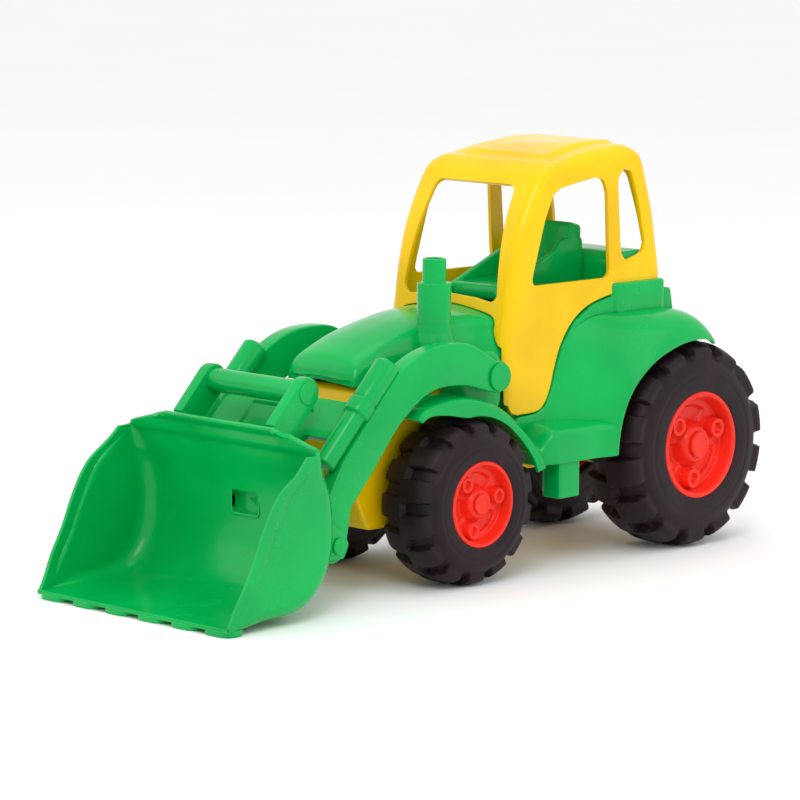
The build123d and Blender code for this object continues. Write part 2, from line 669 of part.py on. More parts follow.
def hub_cap(radius, x_out):
    """Flat round cap that closes the hub over the axle's end."""
    scale = radius / REAR_RIM_R
    with BuildPart() as cap:
        with BuildSketch(side_plane(x_out - 3 * scale)):
            Circle(9 * scale)
        extrude(amount=3 * scale - 0.4)
        fillet(cap.edges().group_by(Axis.X)[-1], 0.8)
    return cap.part


WHEELS = (
    ("front", FRONT_Y, FRONT_R, FRONT_RIM_R, FRONT_RIM_FACE),
    ("rear", REAR_Y, REAR_R, REAR_RIM_R, REAR_RIM_FACE),
)
LUGS_PER_SIDE = 14
for end, hub_y, hub_z, rim_radius, face in WHEELS:
    inner = CHASSIS_HALF + TYRE_GAP
    pieces = {
        "tyre": tyre(hub_z, rim_radius, inner, face - 0.6, LUGS_PER_SIDE),
        "rim": rim(rim_radius, inner, face),
        "hub_cap": hub_cap(rim_radius, face),
    }
    for kind, piece in pieces.items():
        for name, turned in (("left", piece), ("right", piece.rotate(Axis.Z, 180))):
            placed = turned.moved(Location((0, hub_y, hub_z)))
            placed.label = f"{kind}_{end}_{name}"
            export_step(placed, f"parts/{placed.label}.step")
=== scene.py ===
"""Looks of the toy front loader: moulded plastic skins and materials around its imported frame."""

import math

import bmesh
import bpy
import numpy as np
from mathutils import Matrix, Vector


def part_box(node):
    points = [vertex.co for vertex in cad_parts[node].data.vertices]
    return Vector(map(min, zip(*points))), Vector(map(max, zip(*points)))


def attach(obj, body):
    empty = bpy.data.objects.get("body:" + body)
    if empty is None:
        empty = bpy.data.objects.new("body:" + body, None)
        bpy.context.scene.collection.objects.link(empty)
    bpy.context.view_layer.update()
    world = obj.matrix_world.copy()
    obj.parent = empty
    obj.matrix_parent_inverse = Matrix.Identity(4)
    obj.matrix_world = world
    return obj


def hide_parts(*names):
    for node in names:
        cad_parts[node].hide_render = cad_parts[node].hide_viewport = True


bl_info = {
    "name": "Toy Front Loader",
    "version": (1, 0, 0),
    "blender": (4, 5, 0),
    "location": "View3D > Sidebar > Loader",
    "description": "Builds the plastic skins, wheels and materials of a toy front loader",
    "category": "Add Mesh",
}

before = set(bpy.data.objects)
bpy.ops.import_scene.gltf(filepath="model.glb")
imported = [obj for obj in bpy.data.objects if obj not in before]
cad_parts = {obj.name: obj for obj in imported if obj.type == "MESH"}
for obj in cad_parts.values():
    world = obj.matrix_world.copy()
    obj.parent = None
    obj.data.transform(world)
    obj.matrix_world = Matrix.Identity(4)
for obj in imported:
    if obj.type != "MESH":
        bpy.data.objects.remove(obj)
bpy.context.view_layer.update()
MM = 0.001
SIDES = ((1, "left"), (-1, "right"))


def middle(node):
    """Centre of a frame node in millimetres."""
    low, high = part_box(node)
    return (np.array(low) + np.array(high)) / 2 / MM


def extent(node):
    """Lowest and highest corner of a frame node in millimetres."""
    low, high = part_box(node)
    return np.array(low) / MM, np.array(high) / MM


def round_node(node):
    """A node turned about a sideways axis: its centre, its radius, its side (1 left, -1 right), and the
    distances of its inner and outer end from the middle plane."""
    low, high = extent(node)
    near, far = sorted((abs(low[0]), abs(high[0])))
    centre = (low + high) / 2
    return centre, (high[2] - low[2]) / 2, 1 if centre[0] > 0 else -1, near, far


# ------------------------------------------------------------------ curves and fields
def ease(low, high, value):
    """0 below low, 1 above high and a smooth cubic step between them."""
    t = np.clip((np.asarray(value, float) - low) / (high - low), 0, 1)
    return t * t * (3 - 2 * t)


def through(points, count, closed=False):
    """Points spaced evenly along a Catmull-Rom curve through the given ones, in any dimension."""
    p = np.asarray(points, float)
    if closed:
        p = np.vstack([p[-1:], p, p[:2]])
    else:
        p = np.vstack([2 * p[0] - p[1], p, 2 * p[-1] - p[-2]])
    t = np.linspace(0, 1, 24, endpoint=False)[:, None]
    a, b, c, d = p[:-3, None], p[1:-2, None], p[2:-1, None], p[3:, None]
    curve = 0.5 * (2 * b + (c - a) * t + (2 * a - 5 * b + 4 * c - d) * t ** 2 + (3 * b - a - 3 * c + d) * t ** 3)
    curve = curve.reshape(-1, p.shape[1])
    curve = np.vstack([curve, curve[:1] if closed else p[-2:-1]])
    return evenly(curve, count, closed)


def evenly(line, count, closed=False):
    """The polyline's points at equal distances along it; a closed one leaves out the repeated end."""
    line = np.asarray(line, float)
    steps = np.r_[0, np.cumsum(np.linalg.norm(np.diff(line, axis=0), axis=1))]
    at = np.linspace(0, steps[-1], count + 1)[:-1] if closed else np.linspace(0, steps[-1], count)
    return np.stack([np.interp(at, steps, axis) for axis in line.T], axis=1)


def rounded(corners, radius, spacing=1.5):
    """A closed outline with each corner turned by an arc of the radius, or less on short sides."""
    p = np.asarray(corners, float)
    before, after = np.roll(p, 1, axis=0) - p, np.roll(p, -1, axis=0) - p
    length_before = np.linalg.norm(before, axis=1, keepdims=True)
    length_after = np.linalg.norm(after, axis=1, keepdims=True)
    u, v = before / length_before, after / length_after
    turn = np.arccos(np.clip((u * v).sum(1), -1, 1))[:, None] / 2
    reach = np.minimum(radius / np.tan(turn), 0.45 * np.minimum(length_before, length_after))
    t = np.linspace(0, 1, 7)[None, :, None]
    start, end = (p + u * reach)[:, None], (p + v * reach)[:, None]
    weight = np.sin(turn)[:, None]
    top = (1 - t) ** 2 * start + 2 * weight * t * (1 - t) * p[:, None] + t ** 2 * end
    line = (top / ((1 - t) ** 2 + 2 * weight * t * (1 - t) + t ** 2)).reshape(-1, 2)
    line = np.vstack([line, line[:1]])
    total = np.linalg.norm(np.diff(line, axis=0), axis=1).sum()
    return evenly(line, max(24, int(total / spacing)), closed=True)


def box_outline(low_a, high_a, low_b, high_b, radius, spacing=1.5):
    """A rectangle with rounded corners as a closed outline."""
    corners = [(low_a, low_b), (high_a, low_b), (high_a, high_b), (low_a, high_b)]
    return rounded(corners, radius, spacing)


def inside(x, y, outline):
    """Signed distance of points to a closed outline: positive inside it, negative outside."""
    a = np.asarray(outline, float)
    b = np.roll(a, -1, axis=0)
    px, py = np.ravel(x)[:, None], np.ravel(y)[:, None]
    ax, ay, bx, by = a[:, 0], a[:, 1], b[:, 0], b[:, 1]
    dx, dy = bx - ax, by - ay
    t = np.clip(((px - ax) * dx + (py - ay) * dy) / (dx * dx + dy * dy + 1e-12), 0, 1)
    distance = np.sqrt(((px - ax - t * dx) ** 2 + (py - ay - t * dy) ** 2).min(1))
    crosses = ((ay > py) != (by > py)) & (px < dx * (py - ay) / np.where(dy == 0, 1e-12, dy) + ax)
    within = crosses.sum(1) % 2 == 1
    return np.where(within, distance, -distance).reshape(np.shape(x))


# ------------------------------------------------------------------ meshes
def make_piece(name, points, faces, body, slot, replaced=(), smooth_angle=40):
    """A mesh object in the frame's metres from points in millimetres, riding on a body."""
    mesh = bpy.data.meshes.new(name)
    mesh.from_pydata((np.asarray(points, float).reshape(-1, 3) * MM).tolist(), [], faces)
    mesh.validate()
    work = bmesh.new()
    work.from_mesh(mesh)
    bmesh.ops.remove_doubles(work, verts=work.verts, dist=2e-6)
    bmesh.ops.dissolve_degenerate(work, edges=work.edges, dist=2e-6)
    bmesh.ops.recalc_face_normals(work, faces=work.faces)
    work.to_mesh(mesh)
    work.free()
    mesh.polygons.foreach_set("use_smooth", np.ones(len(mesh.polygons), bool))
    mesh.set_sharp_from_angle(angle=math.radians(smooth_angle))
    piece = bpy.data.objects.new(name, mesh)
    bpy.context.scene.collection.objects.link(piece)
    mesh.materials.append(material(slot))
    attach(piece, body)
    if replaced:
        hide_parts(*([replaced] if isinstance(replaced, str) else replaced))
    return piece


def join_shapes(shapes):
    """Several (points, faces) shapes as one."""
    points, faces, offset = [], [], 0
    for shape_points, shape_faces in shapes:
        flat = np.asarray(shape_points, float).reshape(-1, 3)
        points.append(flat)
        faces += [[index + offset for index in face] for face in shape_faces]
        offset += len(flat)
    return np.vstack(points), faces


def grid_faces(rows, columns, wrap_rows=False, wrap_columns=False):
    """Quads of a rows by columns grid, joined round either way if asked."""
    i = np.arange(rows if wrap_rows else rows - 1)
    j = np.arange(columns if wrap_columns else columns - 1)
    i, j = np.meshgrid(i, j, indexing="ij")
    i2, j2 = (i + 1) % rows, (j + 1) % columns
    quads = np.stack([i * columns + j, i2 * columns + j, i2 * columns + j2, i * columns + j2], axis=-1)
    return quads.reshape(-1, 4)


def sheet(points, keep=None, wrap_columns=False):
    """A grid surface. Where keep is given, it is trimmed along keep = 0: the nearer end of each grid
    edge that crosses the line slides onto it, so the trimmed edge is smooth."""
    p = np.array(points, float)
    rows, columns = p.shape[:2]
    quads = grid_faces(rows, columns, wrap_columns=wrap_columns)
    flat = p.reshape(-1, 3)
    if keep is None:
        return flat, quads.tolist()
    f = np.array(keep, float).reshape(-1)
    edges = np.unique(np.sort(np.vstack([quads[:, [0, 1]], quads[:, [1, 2]], quads[:, [2, 3]],
                                         quads[:, [3, 0]]]), axis=1), axis=0)
    a, b = edges[f[edges[:, 0]] * f[edges[:, 1]] < 0].T
    t = f[a] / (f[a] - f[b])
    crossing = flat[a] + (flat[b] - flat[a]) * t[:, None]
    near = np.where(t < 0.5, a, b)
    total, count = np.zeros_like(flat), np.zeros(len(flat))
    np.add.at(total, near, crossing)
    np.add.at(count, near, 1)
    moved = count > 0
    flat = flat.copy()
    flat[moved] = total[moved] / count[moved, None]
    centre = f[quads].mean(1)
    f = np.where(moved, 0.0, f)
    low, high = f[quads].min(1), f[quads].max(1)
    whole = ((low >= 0) & (high > 0)) | ((low == 0) & (high == 0) & (centre > 0))
    faces = quads[whole].tolist()
    for quad in quads[(low < 0) & (high > 0)]:
        corner = int(np.argmax(f[quad]))
        faces.append([int(quad[corner - 1]), int(quad[corner]), int(quad[(corner + 1) % 4])])
    return flat, faces


def profile_plate(outline, low, high, rounding=1.2, axis=0, steps=4):
    """A plate with the closed outline as its face, from low to high along one axis: its rim is
    carried round the outline, and its edges are quarter circles of the rounding."""
    line = np.asarray(outline, float)
    if (line[:, 0] * np.roll(line[:, 1], -1) - line[:, 1] * np.roll(line[:, 0], -1)).sum() < 0:
        line = line[::-1]
    along = np.roll(line, -1, axis=0) - np.roll(line, 1, axis=0)
    along /= np.linalg.norm(along, axis=1, keepdims=True) + 1e-12
    inward = np.stack([-along[:, 1], along[:, 0]], axis=1)
    angle = np.linspace(0, math.pi / 2, steps + 1)
    insets = rounding * (1 - np.cos(angle))
    heights = rounding * np.sin(angle)
    low, high = min(low, high), max(low, high)
    levels = [(inset, low + rounding - height) for inset, height in zip(insets[::-1], heights[::-1])]
    levels += [(inset, high - rounding + height) for inset, height in zip(insets, heights)]
    rings = []
    for inset, level in levels:
        ring = line + inward * inset
        rings.append(np.insert(ring, axis, level, axis=1))
    points = np.stack(rings)
    count = len(line)
    faces = grid_faces(len(levels), count, wrap_columns=True).tolist()
    faces.append(list(range(count)))
    faces.append(list(range((len(levels) - 1) * count, len(levels) * count)))
    return points.reshape(-1, 3), faces


def turned(profile, origin, axis, segments=64, ripple=None):
    """A profile of (distance along the axis, radius) turned round the axis through the origin. Its ends
    reach radius 0 and close there. The ripple adds a height for each angle and profile point."""
    axis = np.asarray(axis, float) / np.linalg.norm(axis)
    helper = np.array([0, 0, 1.0]) if abs(axis[2]) < 0.9 else np.array([0, 1.0, 0])
    e1 = np.cross(helper, axis)
    e1 /= np.linalg.norm(e1)
    e2 = np.cross(axis, e1)
    p = np.asarray(profile, float)
    angle = np.linspace(0, 2 * math.pi, segments, endpoint=False)
    radius = p[:, 1][:, None] + (ripple(angle[None, :], p[:, 0][:, None]) if ripple else 0)
    ring = np.cos(angle)[None, :, None] * e1 + np.sin(angle)[None, :, None] * e2
    points = np.asarray(origin, float) + p[:, 0][:, None, None] * axis + np.maximum(radius, 0)[..., None] * ring
    return points.reshape(-1, 3), grid_faces(len(p), segments, wrap_columns=True).tolist()


def round_profile(points, radius=1.0, steps=4):
    """An open profile with each inner corner turned by an arc of about the radius."""
    p = np.asarray(points, float)
    line = [p[:1]]
    t = np.linspace(0, 1, steps + 1)[:, None]
    for before, corner, after in zip(p[:-2], p[1:-1], p[2:]):
        u, v = before - corner, after - corner
        reach = min(radius, 0.45 * np.linalg.norm(u), 0.45 * np.linalg.norm(v))
        start = corner + u / (np.linalg.norm(u) + 1e-12) * reach
        end = corner + v / (np.linalg.norm(v) + 1e-12) * reach
        line.append((1 - t) ** 2 * start + 2 * t * (1 - t) * corner + t ** 2 * end)
    line.append(p[-1:])
    return np.vstack(line)


def flip_side(shape, side):
    """The shape itself on the left, and its mirror image on the right."""
    points, faces = shape
    if side > 0:
        return points, faces
    return np.asarray(points, float).reshape(-1, 3) * (-1, 1, 1), [list(face)[::-1] for face in faces]


def wall(piece, thickness, bevel=0.8, offset=-1.0):
    """Gives a sheet its thickness, inwards by default, and rounds the edges that come from it."""
    solid = piece.modifiers.new("wall", "SOLIDIFY")
    solid.thickness = thickness * MM
    solid.offset = offset
    solid.use_even_offset = True
    if bevel:
        soften(piece, bevel)


def soften(piece, width, angle=55, segments=2):
    """Rounds the sharp edges of a piece by the width in millimetres."""
    round_edges = piece.modifiers.new("edges", "BEVEL")
    round_edges.width = width * MM
    round_edges.segments = segments
    round_edges.limit_method = "ANGLE"
    round_edges.angle_limit = math.radians(angle)
    round_edges.harden_normals = False


# ------------------------------------------------------------------ materials
OBJECT_COORDINATES = 3
MIX_FIRST, MIX_SECOND, MIX_COLOR = 6, 7, 2


class Shade:
    """A shader socket that takes part in ordinary arithmetic, as in 1 - mask * 0.5."""

    def __init__(self, tree, socket=None):
        self.tree = tree
        self.socket = socket

    def node(self, kind, settings=None, inputs=None, output=0):
        """Adds a node: its settings first, then the values or links of its sockets."""
        made = self.tree.nodes.new(kind)
        for name, value in (settings or {}).items():
            setattr(made, name, value)
        for name, value in (inputs or {}).items():
            if isinstance(value, Shade):
                self.tree.links.new(value.socket, made.inputs[name])
            else:
                made.inputs[name].default_value = value
        return Shade(self.tree, made.outputs[output])

    def place(self):
        """The piece's own coordinates, in metres."""
        return self.node("ShaderNodeTexCoord", output=OBJECT_COORDINATES)

    def math(self, operation, first, second=0.0):
        return self.node("ShaderNodeMath", {"operation": operation}, {0: first, 1: second})

    def __add__(self, other):
        return self.math("ADD", self, other)

    __radd__ = __add__

    def __sub__(self, other):
        return self.math("SUBTRACT", self, other)

    def __rsub__(self, other):
        return self.math("SUBTRACT", other, self)

    def __mul__(self, other):
        return self.math("MULTIPLY", self, other)

    def step(self, low, high):
        """0 below low and 1 above high, smoothly."""
        return self.node("ShaderNodeMapRange", {"interpolation_type": "SMOOTHSTEP"},
                         {"Value": self, "From Min": low, "From Max": high})

    def tint(self, first, second):
        """A colour between first and second, by this value."""
        return self.node("ShaderNodeMix", {"data_type": "RGBA"}, {0: self, MIX_FIRST: first, MIX_SECOND: second},
                         output=MIX_COLOR)


def noise(shade, place, scale, detail=3.0, roughness=0.5):
    """Cloudy noise from 0 to 1, its scale in waves to the metre."""
    return shade.node("ShaderNodeTexNoise", None, {"Vector": place, "Scale": scale, "Detail": detail,
                                                   "Roughness": roughness})


def scratches(shade, place, stretch, scale):
    """Thin lines: noise drawn out along one direction, and only its narrow middle band kept."""
    drawn = shade.node("ShaderNodeMapping", None, {"Vector": place, "Rotation": (0.3, 0.5, 0.7),
                                                   "Scale": stretch})
    band = noise(shade, drawn, scale, 2.0) - 0.5
    return 1 - shade.math("ABSOLUTE", band).step(0.0, 0.012)


def new_surface(name, roughness, specular=0.17):
    """An empty material with its Principled shader, and a Shade that builds nodes in it."""
    made = bpy.data.materials.new(name)
    made.use_nodes = True
    shader = next(n for n in made.node_tree.nodes if n.type == "BSDF_PRINCIPLED")
    shader.inputs["Roughness"].default_value = roughness
    shader.inputs["Specular IOR Level"].default_value = specular
    return made, shader, Shade(made.node_tree)


def scaled(color, *factors):
    """The colour with its channels multiplied by one factor, or by one each, and held at 1."""
    factors = factors * 3 if len(factors) == 1 else factors
    return (*(min(1, channel * factor) for channel, factor in zip(color, factors)), 1)


def connect(shade, shader, color, rough, height, strength, distance):
    """Links colour, roughness and a relief of the height into the Principled shader."""
    relief = shade.node("ShaderNodeBump", None, {"Strength": strength, "Distance": distance,
                                                 "Height": height})
    for name, value in (("Base Color", color), ("Roughness", rough), ("Normal", relief)):
        shade.tree.links.new(value.socket, shader.inputs[name])


def moulded_plastic(name, color, settings):
    """Glossy moulded plastic: soft sink marks, fine grain, patchy gloss, hairline scuffs and a faintly uneven
    tone.
    """
    made, shader, shade = new_surface(name, settings.gloss_roughness)
    place = shade.place()
    red, green, blue = color[:3]
    cloud = noise(shade, place, 14.0)
    flow = noise(shade, place, 55.0, 4.0, 0.6)
    lines = scratches(shade, place, (9, 1, 1), 60.0) * noise(shade, place, 9.0).step(0.45, 0.7)
    cross_lines = scratches(shade, place, (1, 7, 2), 75.0) * noise(shade, place, 12.0).step(0.5, 0.72)
    scuffs = shade.math("MAXIMUM", lines, cross_lines) * settings.scuffs
    base = cloud.step(0.3, 0.7).tint(scaled(color, 0.86), scaled(color, 1.05))
    pale = (min(1, red + 0.10), min(1, green + 0.12), min(1, blue + 0.10), 1)
    worn = (scuffs * 0.35).tint(base, pale)
    rough = settings.gloss_roughness + flow.step(0.35, 0.75) * 0.10 + scuffs * 0.3
    sinks = noise(shade, place, 26.0, 1.0) * settings.sink_marks
    grain = noise(shade, place, 1500.0, 2.0) * 0.05 + noise(shade, place, 320.0, 2.0) * 0.10
    connect(shade, shader, worn, rough, sinks + grain - scuffs * 0.06, 0.35, 0.001)
    shader.inputs["Coat Weight"].default_value = 0.10
    shader.inputs["Coat Roughness"].default_value = 0.05
    return made


def tyre_plastic(name, color, settings):
    """Dull dark plastic of the tyres: pebbled grain, paler rubbed patches and brown dust."""
    made, shader, shade = new_surface(name, settings.tyre_roughness, 0.22)
    place = shade.place()
    cloud = noise(shade, place, 30.0, 4.0)
    rubbed = noise(shade, place, 95.0, 5.0, 0.65).step(0.5, 0.8)
    base = cloud.step(0.3, 0.75).tint(scaled(color, 0.75), scaled(color, 1.5, 1.4, 1.35))
    dusted = (rubbed * 0.45).tint(base, scaled(color, 2.6, 2.3, 2.1))
    rough = settings.tyre_roughness + rubbed * 0.14 - cloud * 0.08
    pebbles = noise(shade, place, 900.0, 3.0, 0.6) * 0.35 + noise(shade, place, 160.0, 2.0) * 0.25
    connect(shade, shader, dusted, rough, pebbles, 0.4, 0.0006)
    return made


def drawn_steel(name, color, _settings):
    """Steel rod with fine lines drawn round it and slightly uneven shine."""
    made, shader, shade = new_surface(name, 0.3)
    place = shade.place()
    drawn = shade.node("ShaderNodeMapping", None, {"Vector": place, "Scale": (40, 1, 1)})
    lines = noise(shade, drawn, 90.0, 4.0)
    base = lines.step(0.3, 0.7).tint(scaled(color, 0.8), scaled(color, 1))
    connect(shade, shader, base, 0.24 + lines * 0.2, lines, 0.2, 0.0002)
    shader.inputs["Metallic"].default_value = 1.0
    return made


def material(slot):
    """The one material of a slot, made when it is first asked for."""
    name = f"loader_{slot}"
    found = bpy.data.materials.get(name)
    if found:
        return found
    settings = bpy.context.scene.loader_finish
    kinds = {"tyre_plastic": tyre_plastic, "axle_steel": drawn_steel}
    return kinds.get(slot, moulded_plastic)(name, getattr(settings, slot), settings)


def paint(node, slot):
    """Gives a frame node that stays in sight the material of a slot."""
    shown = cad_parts[node]
    for place in shown.material_slots:
        place.material = material(slot)
    if not shown.material_slots:
        shown.data.materials.append(material(slot))


# ------------------------------------------------------------------ shapes of the loader's pieces
# All lengths are millimetres in the frame: x to the left, y to the rear, z up. Side outlines are (y, z).
FRONT_HUB = middle("tyre_front_left")
REAR_HUB = middle("tyre_rear_left")
FRONT_RADIUS = FRONT_HUB[2]
CAB_HIGH = extent("cab")[1]
CAB_HALF = CAB_HIGH[0]
BUCKET_HALF = extent("bucket")[1][0]
STACK = middle("exhaust_stack")
LIFT_PIN = middle("lift_pin_left")
TILT_PIN = middle("tilt_pin_left")

PANEL_EDGE = [(34, 105), (52, 105.5), (60, 110), (65.5, 120), (69.5, 133), (76, 149), (88, 164),
              (106, 174), (135, 180), (180, 186)]
CAB_FRONT = [(19, 103), (20, 119), (19, 147), (24.5, 170), (28, 195), (34.5, 221), (43.5, 242), (54, 260),
             (65, 272)]
CAB_REAR = [(183, 150), (180, 187), (176, 211), (172, 231), (166, 251), (161, 266), (155, 277)]
DOOR = [(46, 190), (49, 201), (59, 233), (66.5, 249), (74, 253.5), (91, 256.5), (110, 259), (117.5, 256.5),
        (121, 248), (123, 210), (124.5, 190)]
QUARTER = [(135.5, 206), (133, 235), (131.5, 256), (137, 263.5), (145, 261.5), (152.5, 241), (160, 211),
           (157, 204.5), (140, 200)]
WINDSHIELD = [(43.9, 178.5), (36.3, 256), (-36.3, 256), (-43.9, 178.5), (-22, 181.5), (0, 182.5), (22, 181.5)]
REAR_WINDOW = [(42, 200), (37, 262), (-37, 262), (-42, 200)]
COWL = [(22, 174.3), (39.5, 171), (44, 166.5), (45, 160), (51, 151), (53, 146), (54, 92)]
ROOF_TURN = 10.0
CAB_CORNER = 9.0
CAB_MIDDLE_Y = 105.0
CAB_FOOT_Z = 103.0
CROWN_Z = 277.2
CLEAR = 30.0    # a keep value well away from every trimmed edge


def ring_layout(front, corner, side):
    """Places round a rounded rectangle: for each, the corner circle's centre as shares of the half sizes,
    and the direction from that centre."""
    places = []
    quarter = np.linspace(0, math.pi / 2, corner, endpoint=False)
    corners = (((1, -1), (0, -1), (1, 0), side), ((1, 1), (1, 0), (0, 1), front),
               ((-1, 1), (0, 1), (-1, 0), side), ((-1, -1), (-1, 0), (0, -1), front))
    starts = ((1, -1), (1, 1), (-1, 1), (-1, -1))
    for (centre, d0, d1, count), following in zip(corners, starts[1:] + starts[:1]):
        for angle in quarter:
            direction = np.array(d0) * math.cos(angle) + np.array(d1) * math.sin(angle)
            places.append([*centre, *direction])
        for t in np.linspace(0, 1, count, endpoint=False):
            at = np.array(centre) * (1 - t) + np.array(following) * t
            places.append([*at, *d1])
    return np.array(places, float)


def cab_shell():
    """The cab as one sheet: rounded rectangles stacked up the wall, turned over the roof's edge by a
    quarter circle, and then drawn in to the crown. Windows, cowl arch and panel edge trim it."""
    layout = ring_layout(70, 8, 100)
    ax, ay, dx, dy = layout.T
    front_y, front_z = through(CAB_FRONT, 240).T
    rear_y, rear_z = through(CAB_REAR, 240).T
    edge_z = 261.0 + 8.0 * (ay + 1) / 2 + 1.5 * (1 - ay ** 2)
    rows, fields = [], []
    windshield = rounded(WINDSHIELD, 6)
    rear_window = rounded(REAR_WINDOW, 8)
    door, quarter = rounded(DOOR, 5), rounded(QUARTER, 5)
    cowl = through([(-x, z) for x, z in COWL[::-1]] + [(0, 176.3)] + COWL, 120)
    under = np.vstack([through(PANEL_EDGE, 120), [(230, 186), (230, 60), (34, 60)]])
    foot = np.array([(-10, 60), (-10, 112), (23.5, 112), (29, 106), (34, 105), (34, 60)])

    def add_row(z, inset):
        half = CAB_HALF - inset
        y0 = np.interp(z, front_z, front_y) + 0.4 * inset
        y1 = np.interp(z, rear_z, rear_y) - inset
        x = ax * (half - CAB_CORNER) + dx * CAB_CORNER
        y = (y0 + y1) / 2 + ay * ((y1 - y0) / 2 - CAB_CORNER) + dy * CAB_CORNER
        rows.append(np.stack([x, y, z], axis=1))
        keep = np.full(len(z), CLEAR)
        on_side = np.abs(dx) > 0.8
        for outline in (door, quarter, under, foot):
            keep = np.where(on_side, np.minimum(keep, -inside(y, z, outline)), keep)
        on_front = (dy < -0.3) & (y < 100)
        for outline in (windshield, cowl):
            keep = np.where(on_front, np.minimum(keep, -inside(x, z, outline)), keep)
        keep = np.where(dy < -0.3, np.minimum(keep, z - 112 + 200 * (np.abs(x) < 46)), keep)
        behind = np.minimum(-inside(x, z, rear_window), z - 187)
        keep = np.where(dy > 0.3, np.minimum(keep, behind), keep)
        fields.append(keep)

    for share in np.linspace(0, 1, 120):
        add_row(CAB_FOOT_Z + share * (edge_z - CAB_FOOT_Z), 0.0)
    for angle in np.linspace(0, math.pi / 2, 9)[1:]:
        add_row(edge_z + ROOF_TURN * math.sin(angle), ROOF_TURN * (1 - math.cos(angle)))
    wall_rows = len(rows)
    rim = rows[-1]
    for share in np.linspace(0, 1, 46)[1:]:
        shrink = 1 - share
        x, y = rim[:, 0] * shrink, CAB_MIDDLE_Y + (rim[:, 1] - CAB_MIDDLE_Y) * shrink
        z = rim[:, 2] * (1 - ease(0, 1, share)) + CROWN_Z * ease(0, 1, share)
        panel = ease(39, 33, np.abs(x)) * ease(72, 80, y) * ease(150, 142, y)
        rows.append(np.stack([x, y, np.minimum(z + 2.8 * panel, CAB_HIGH[2] - 0.2)], axis=1))
        fields.append(np.full(len(z), CLEAR))
    points, keep = np.stack(rows), np.stack(fields)
    points[:wall_rows, :, 1] = np.minimum(points[:wall_rows, :, 1], CAB_HIGH[1])
    return sheet(points, keep, wrap_columns=True)


HOOD_STATIONS = {
    -96.4: [(30.5, 133), (30.3, 134.5), (29.6, 136.4), (24, 137.8), (10, 138.6), (0, 138.8)],
    -95.4: [(31.6, 133), (31.3, 136.2), (30.2, 139.4), (25, 141.8), (11, 143), (0, 143.2)],
    -92.5: [(32.4, 133), (32.0, 138), (30.6, 143.2), (25.4, 146.6), (11.5, 148.4), (0, 148.8)],
    -87.0: [(33, 133), (32.4, 139.5), (30.6, 146.4), (25.4, 150.6), (12, 153), (0, 153.6)],
    -76.0: [(33.6, 133), (32.9, 141), (30.8, 149.8), (25.6, 155.2), (12.4, 158.3), (0, 159)],
    -62.0: [(34.2, 133), (33.4, 143), (31, 153.4), (25.8, 160), (12.6, 163.4), (0, 164.2)],
    -38.0: [(35.5, 133), (34.6, 145), (31.8, 157.8), (27, 165.4), (13.4, 169.2), (0, 170)],
    -13.0: [(37, 133), (36.2, 147), (34, 160), (29.5, 169.0), (15, 172.8), (0, 173.6)],
    8.0: [(43, 133), (41.5, 147), (38.5, 160), (34.5, 169.8), (17, 173.6), (0, 174.6)],
    20.0: [(51, 133), (49.5, 147), (43.8, 160), (39.5, 169.2), (20, 173.8), (0, 175.4)],
    30.0: [(53.2, 133), (52, 147), (44.6, 160), (41, 169.6), (20, 174.2), (0, 175.8)],
}


def hood():
    """Cross-sections lofted along the hood: each is a smooth curve from foot to crown and down again, and
    they vary smoothly from station to station. The nose bulges forwards in plan and closes on itself."""
    stations = np.array([[(x, y, z) for x, z in half] for y, half in HOOD_STATIONS.items()], float)
    lines = []
    for station in stations:
        mirrored = station[-2::-1] * (-1, 1, 1)
        lines.append(through(np.vstack([station, mirrored]), 90))
    lines = np.stack(lines)
    lengthwise = np.stack([through(lines[:, j], 110) for j in range(lines.shape[1])], axis=1)
    nose = ease(-55, -99, lengthwise[..., 1])
    lengthwise[..., 1] += nose * 1.4 * (lengthwise[..., 0] / 27) ** 4
    middle_line = lengthwise[:1].mean(axis=1, keepdims=True) * (0, 1, 1) + (0, -0.6, 0)
    middle_line[..., 2] = 136
    nose_rows = [middle_line + (lengthwise[:1] - middle_line) * share for share in (0.0, 0.35, 0.7, 0.92)]
    nose_rows[3] = nose_rows[3] + (0, -0.3, 0)
    return sheet(np.concatenate([*nose_rows, lengthwise]))


FRONT_ARCH_CLEAR = 2.2
FENDER_TOP = [(-78, 116), (-70, 121.5), (-50, 125.5), (-27, 125), (-4, 118.2), (12.5, 108), (25.5, 96),
              (35.4, 82.5), (40.5, 73)]


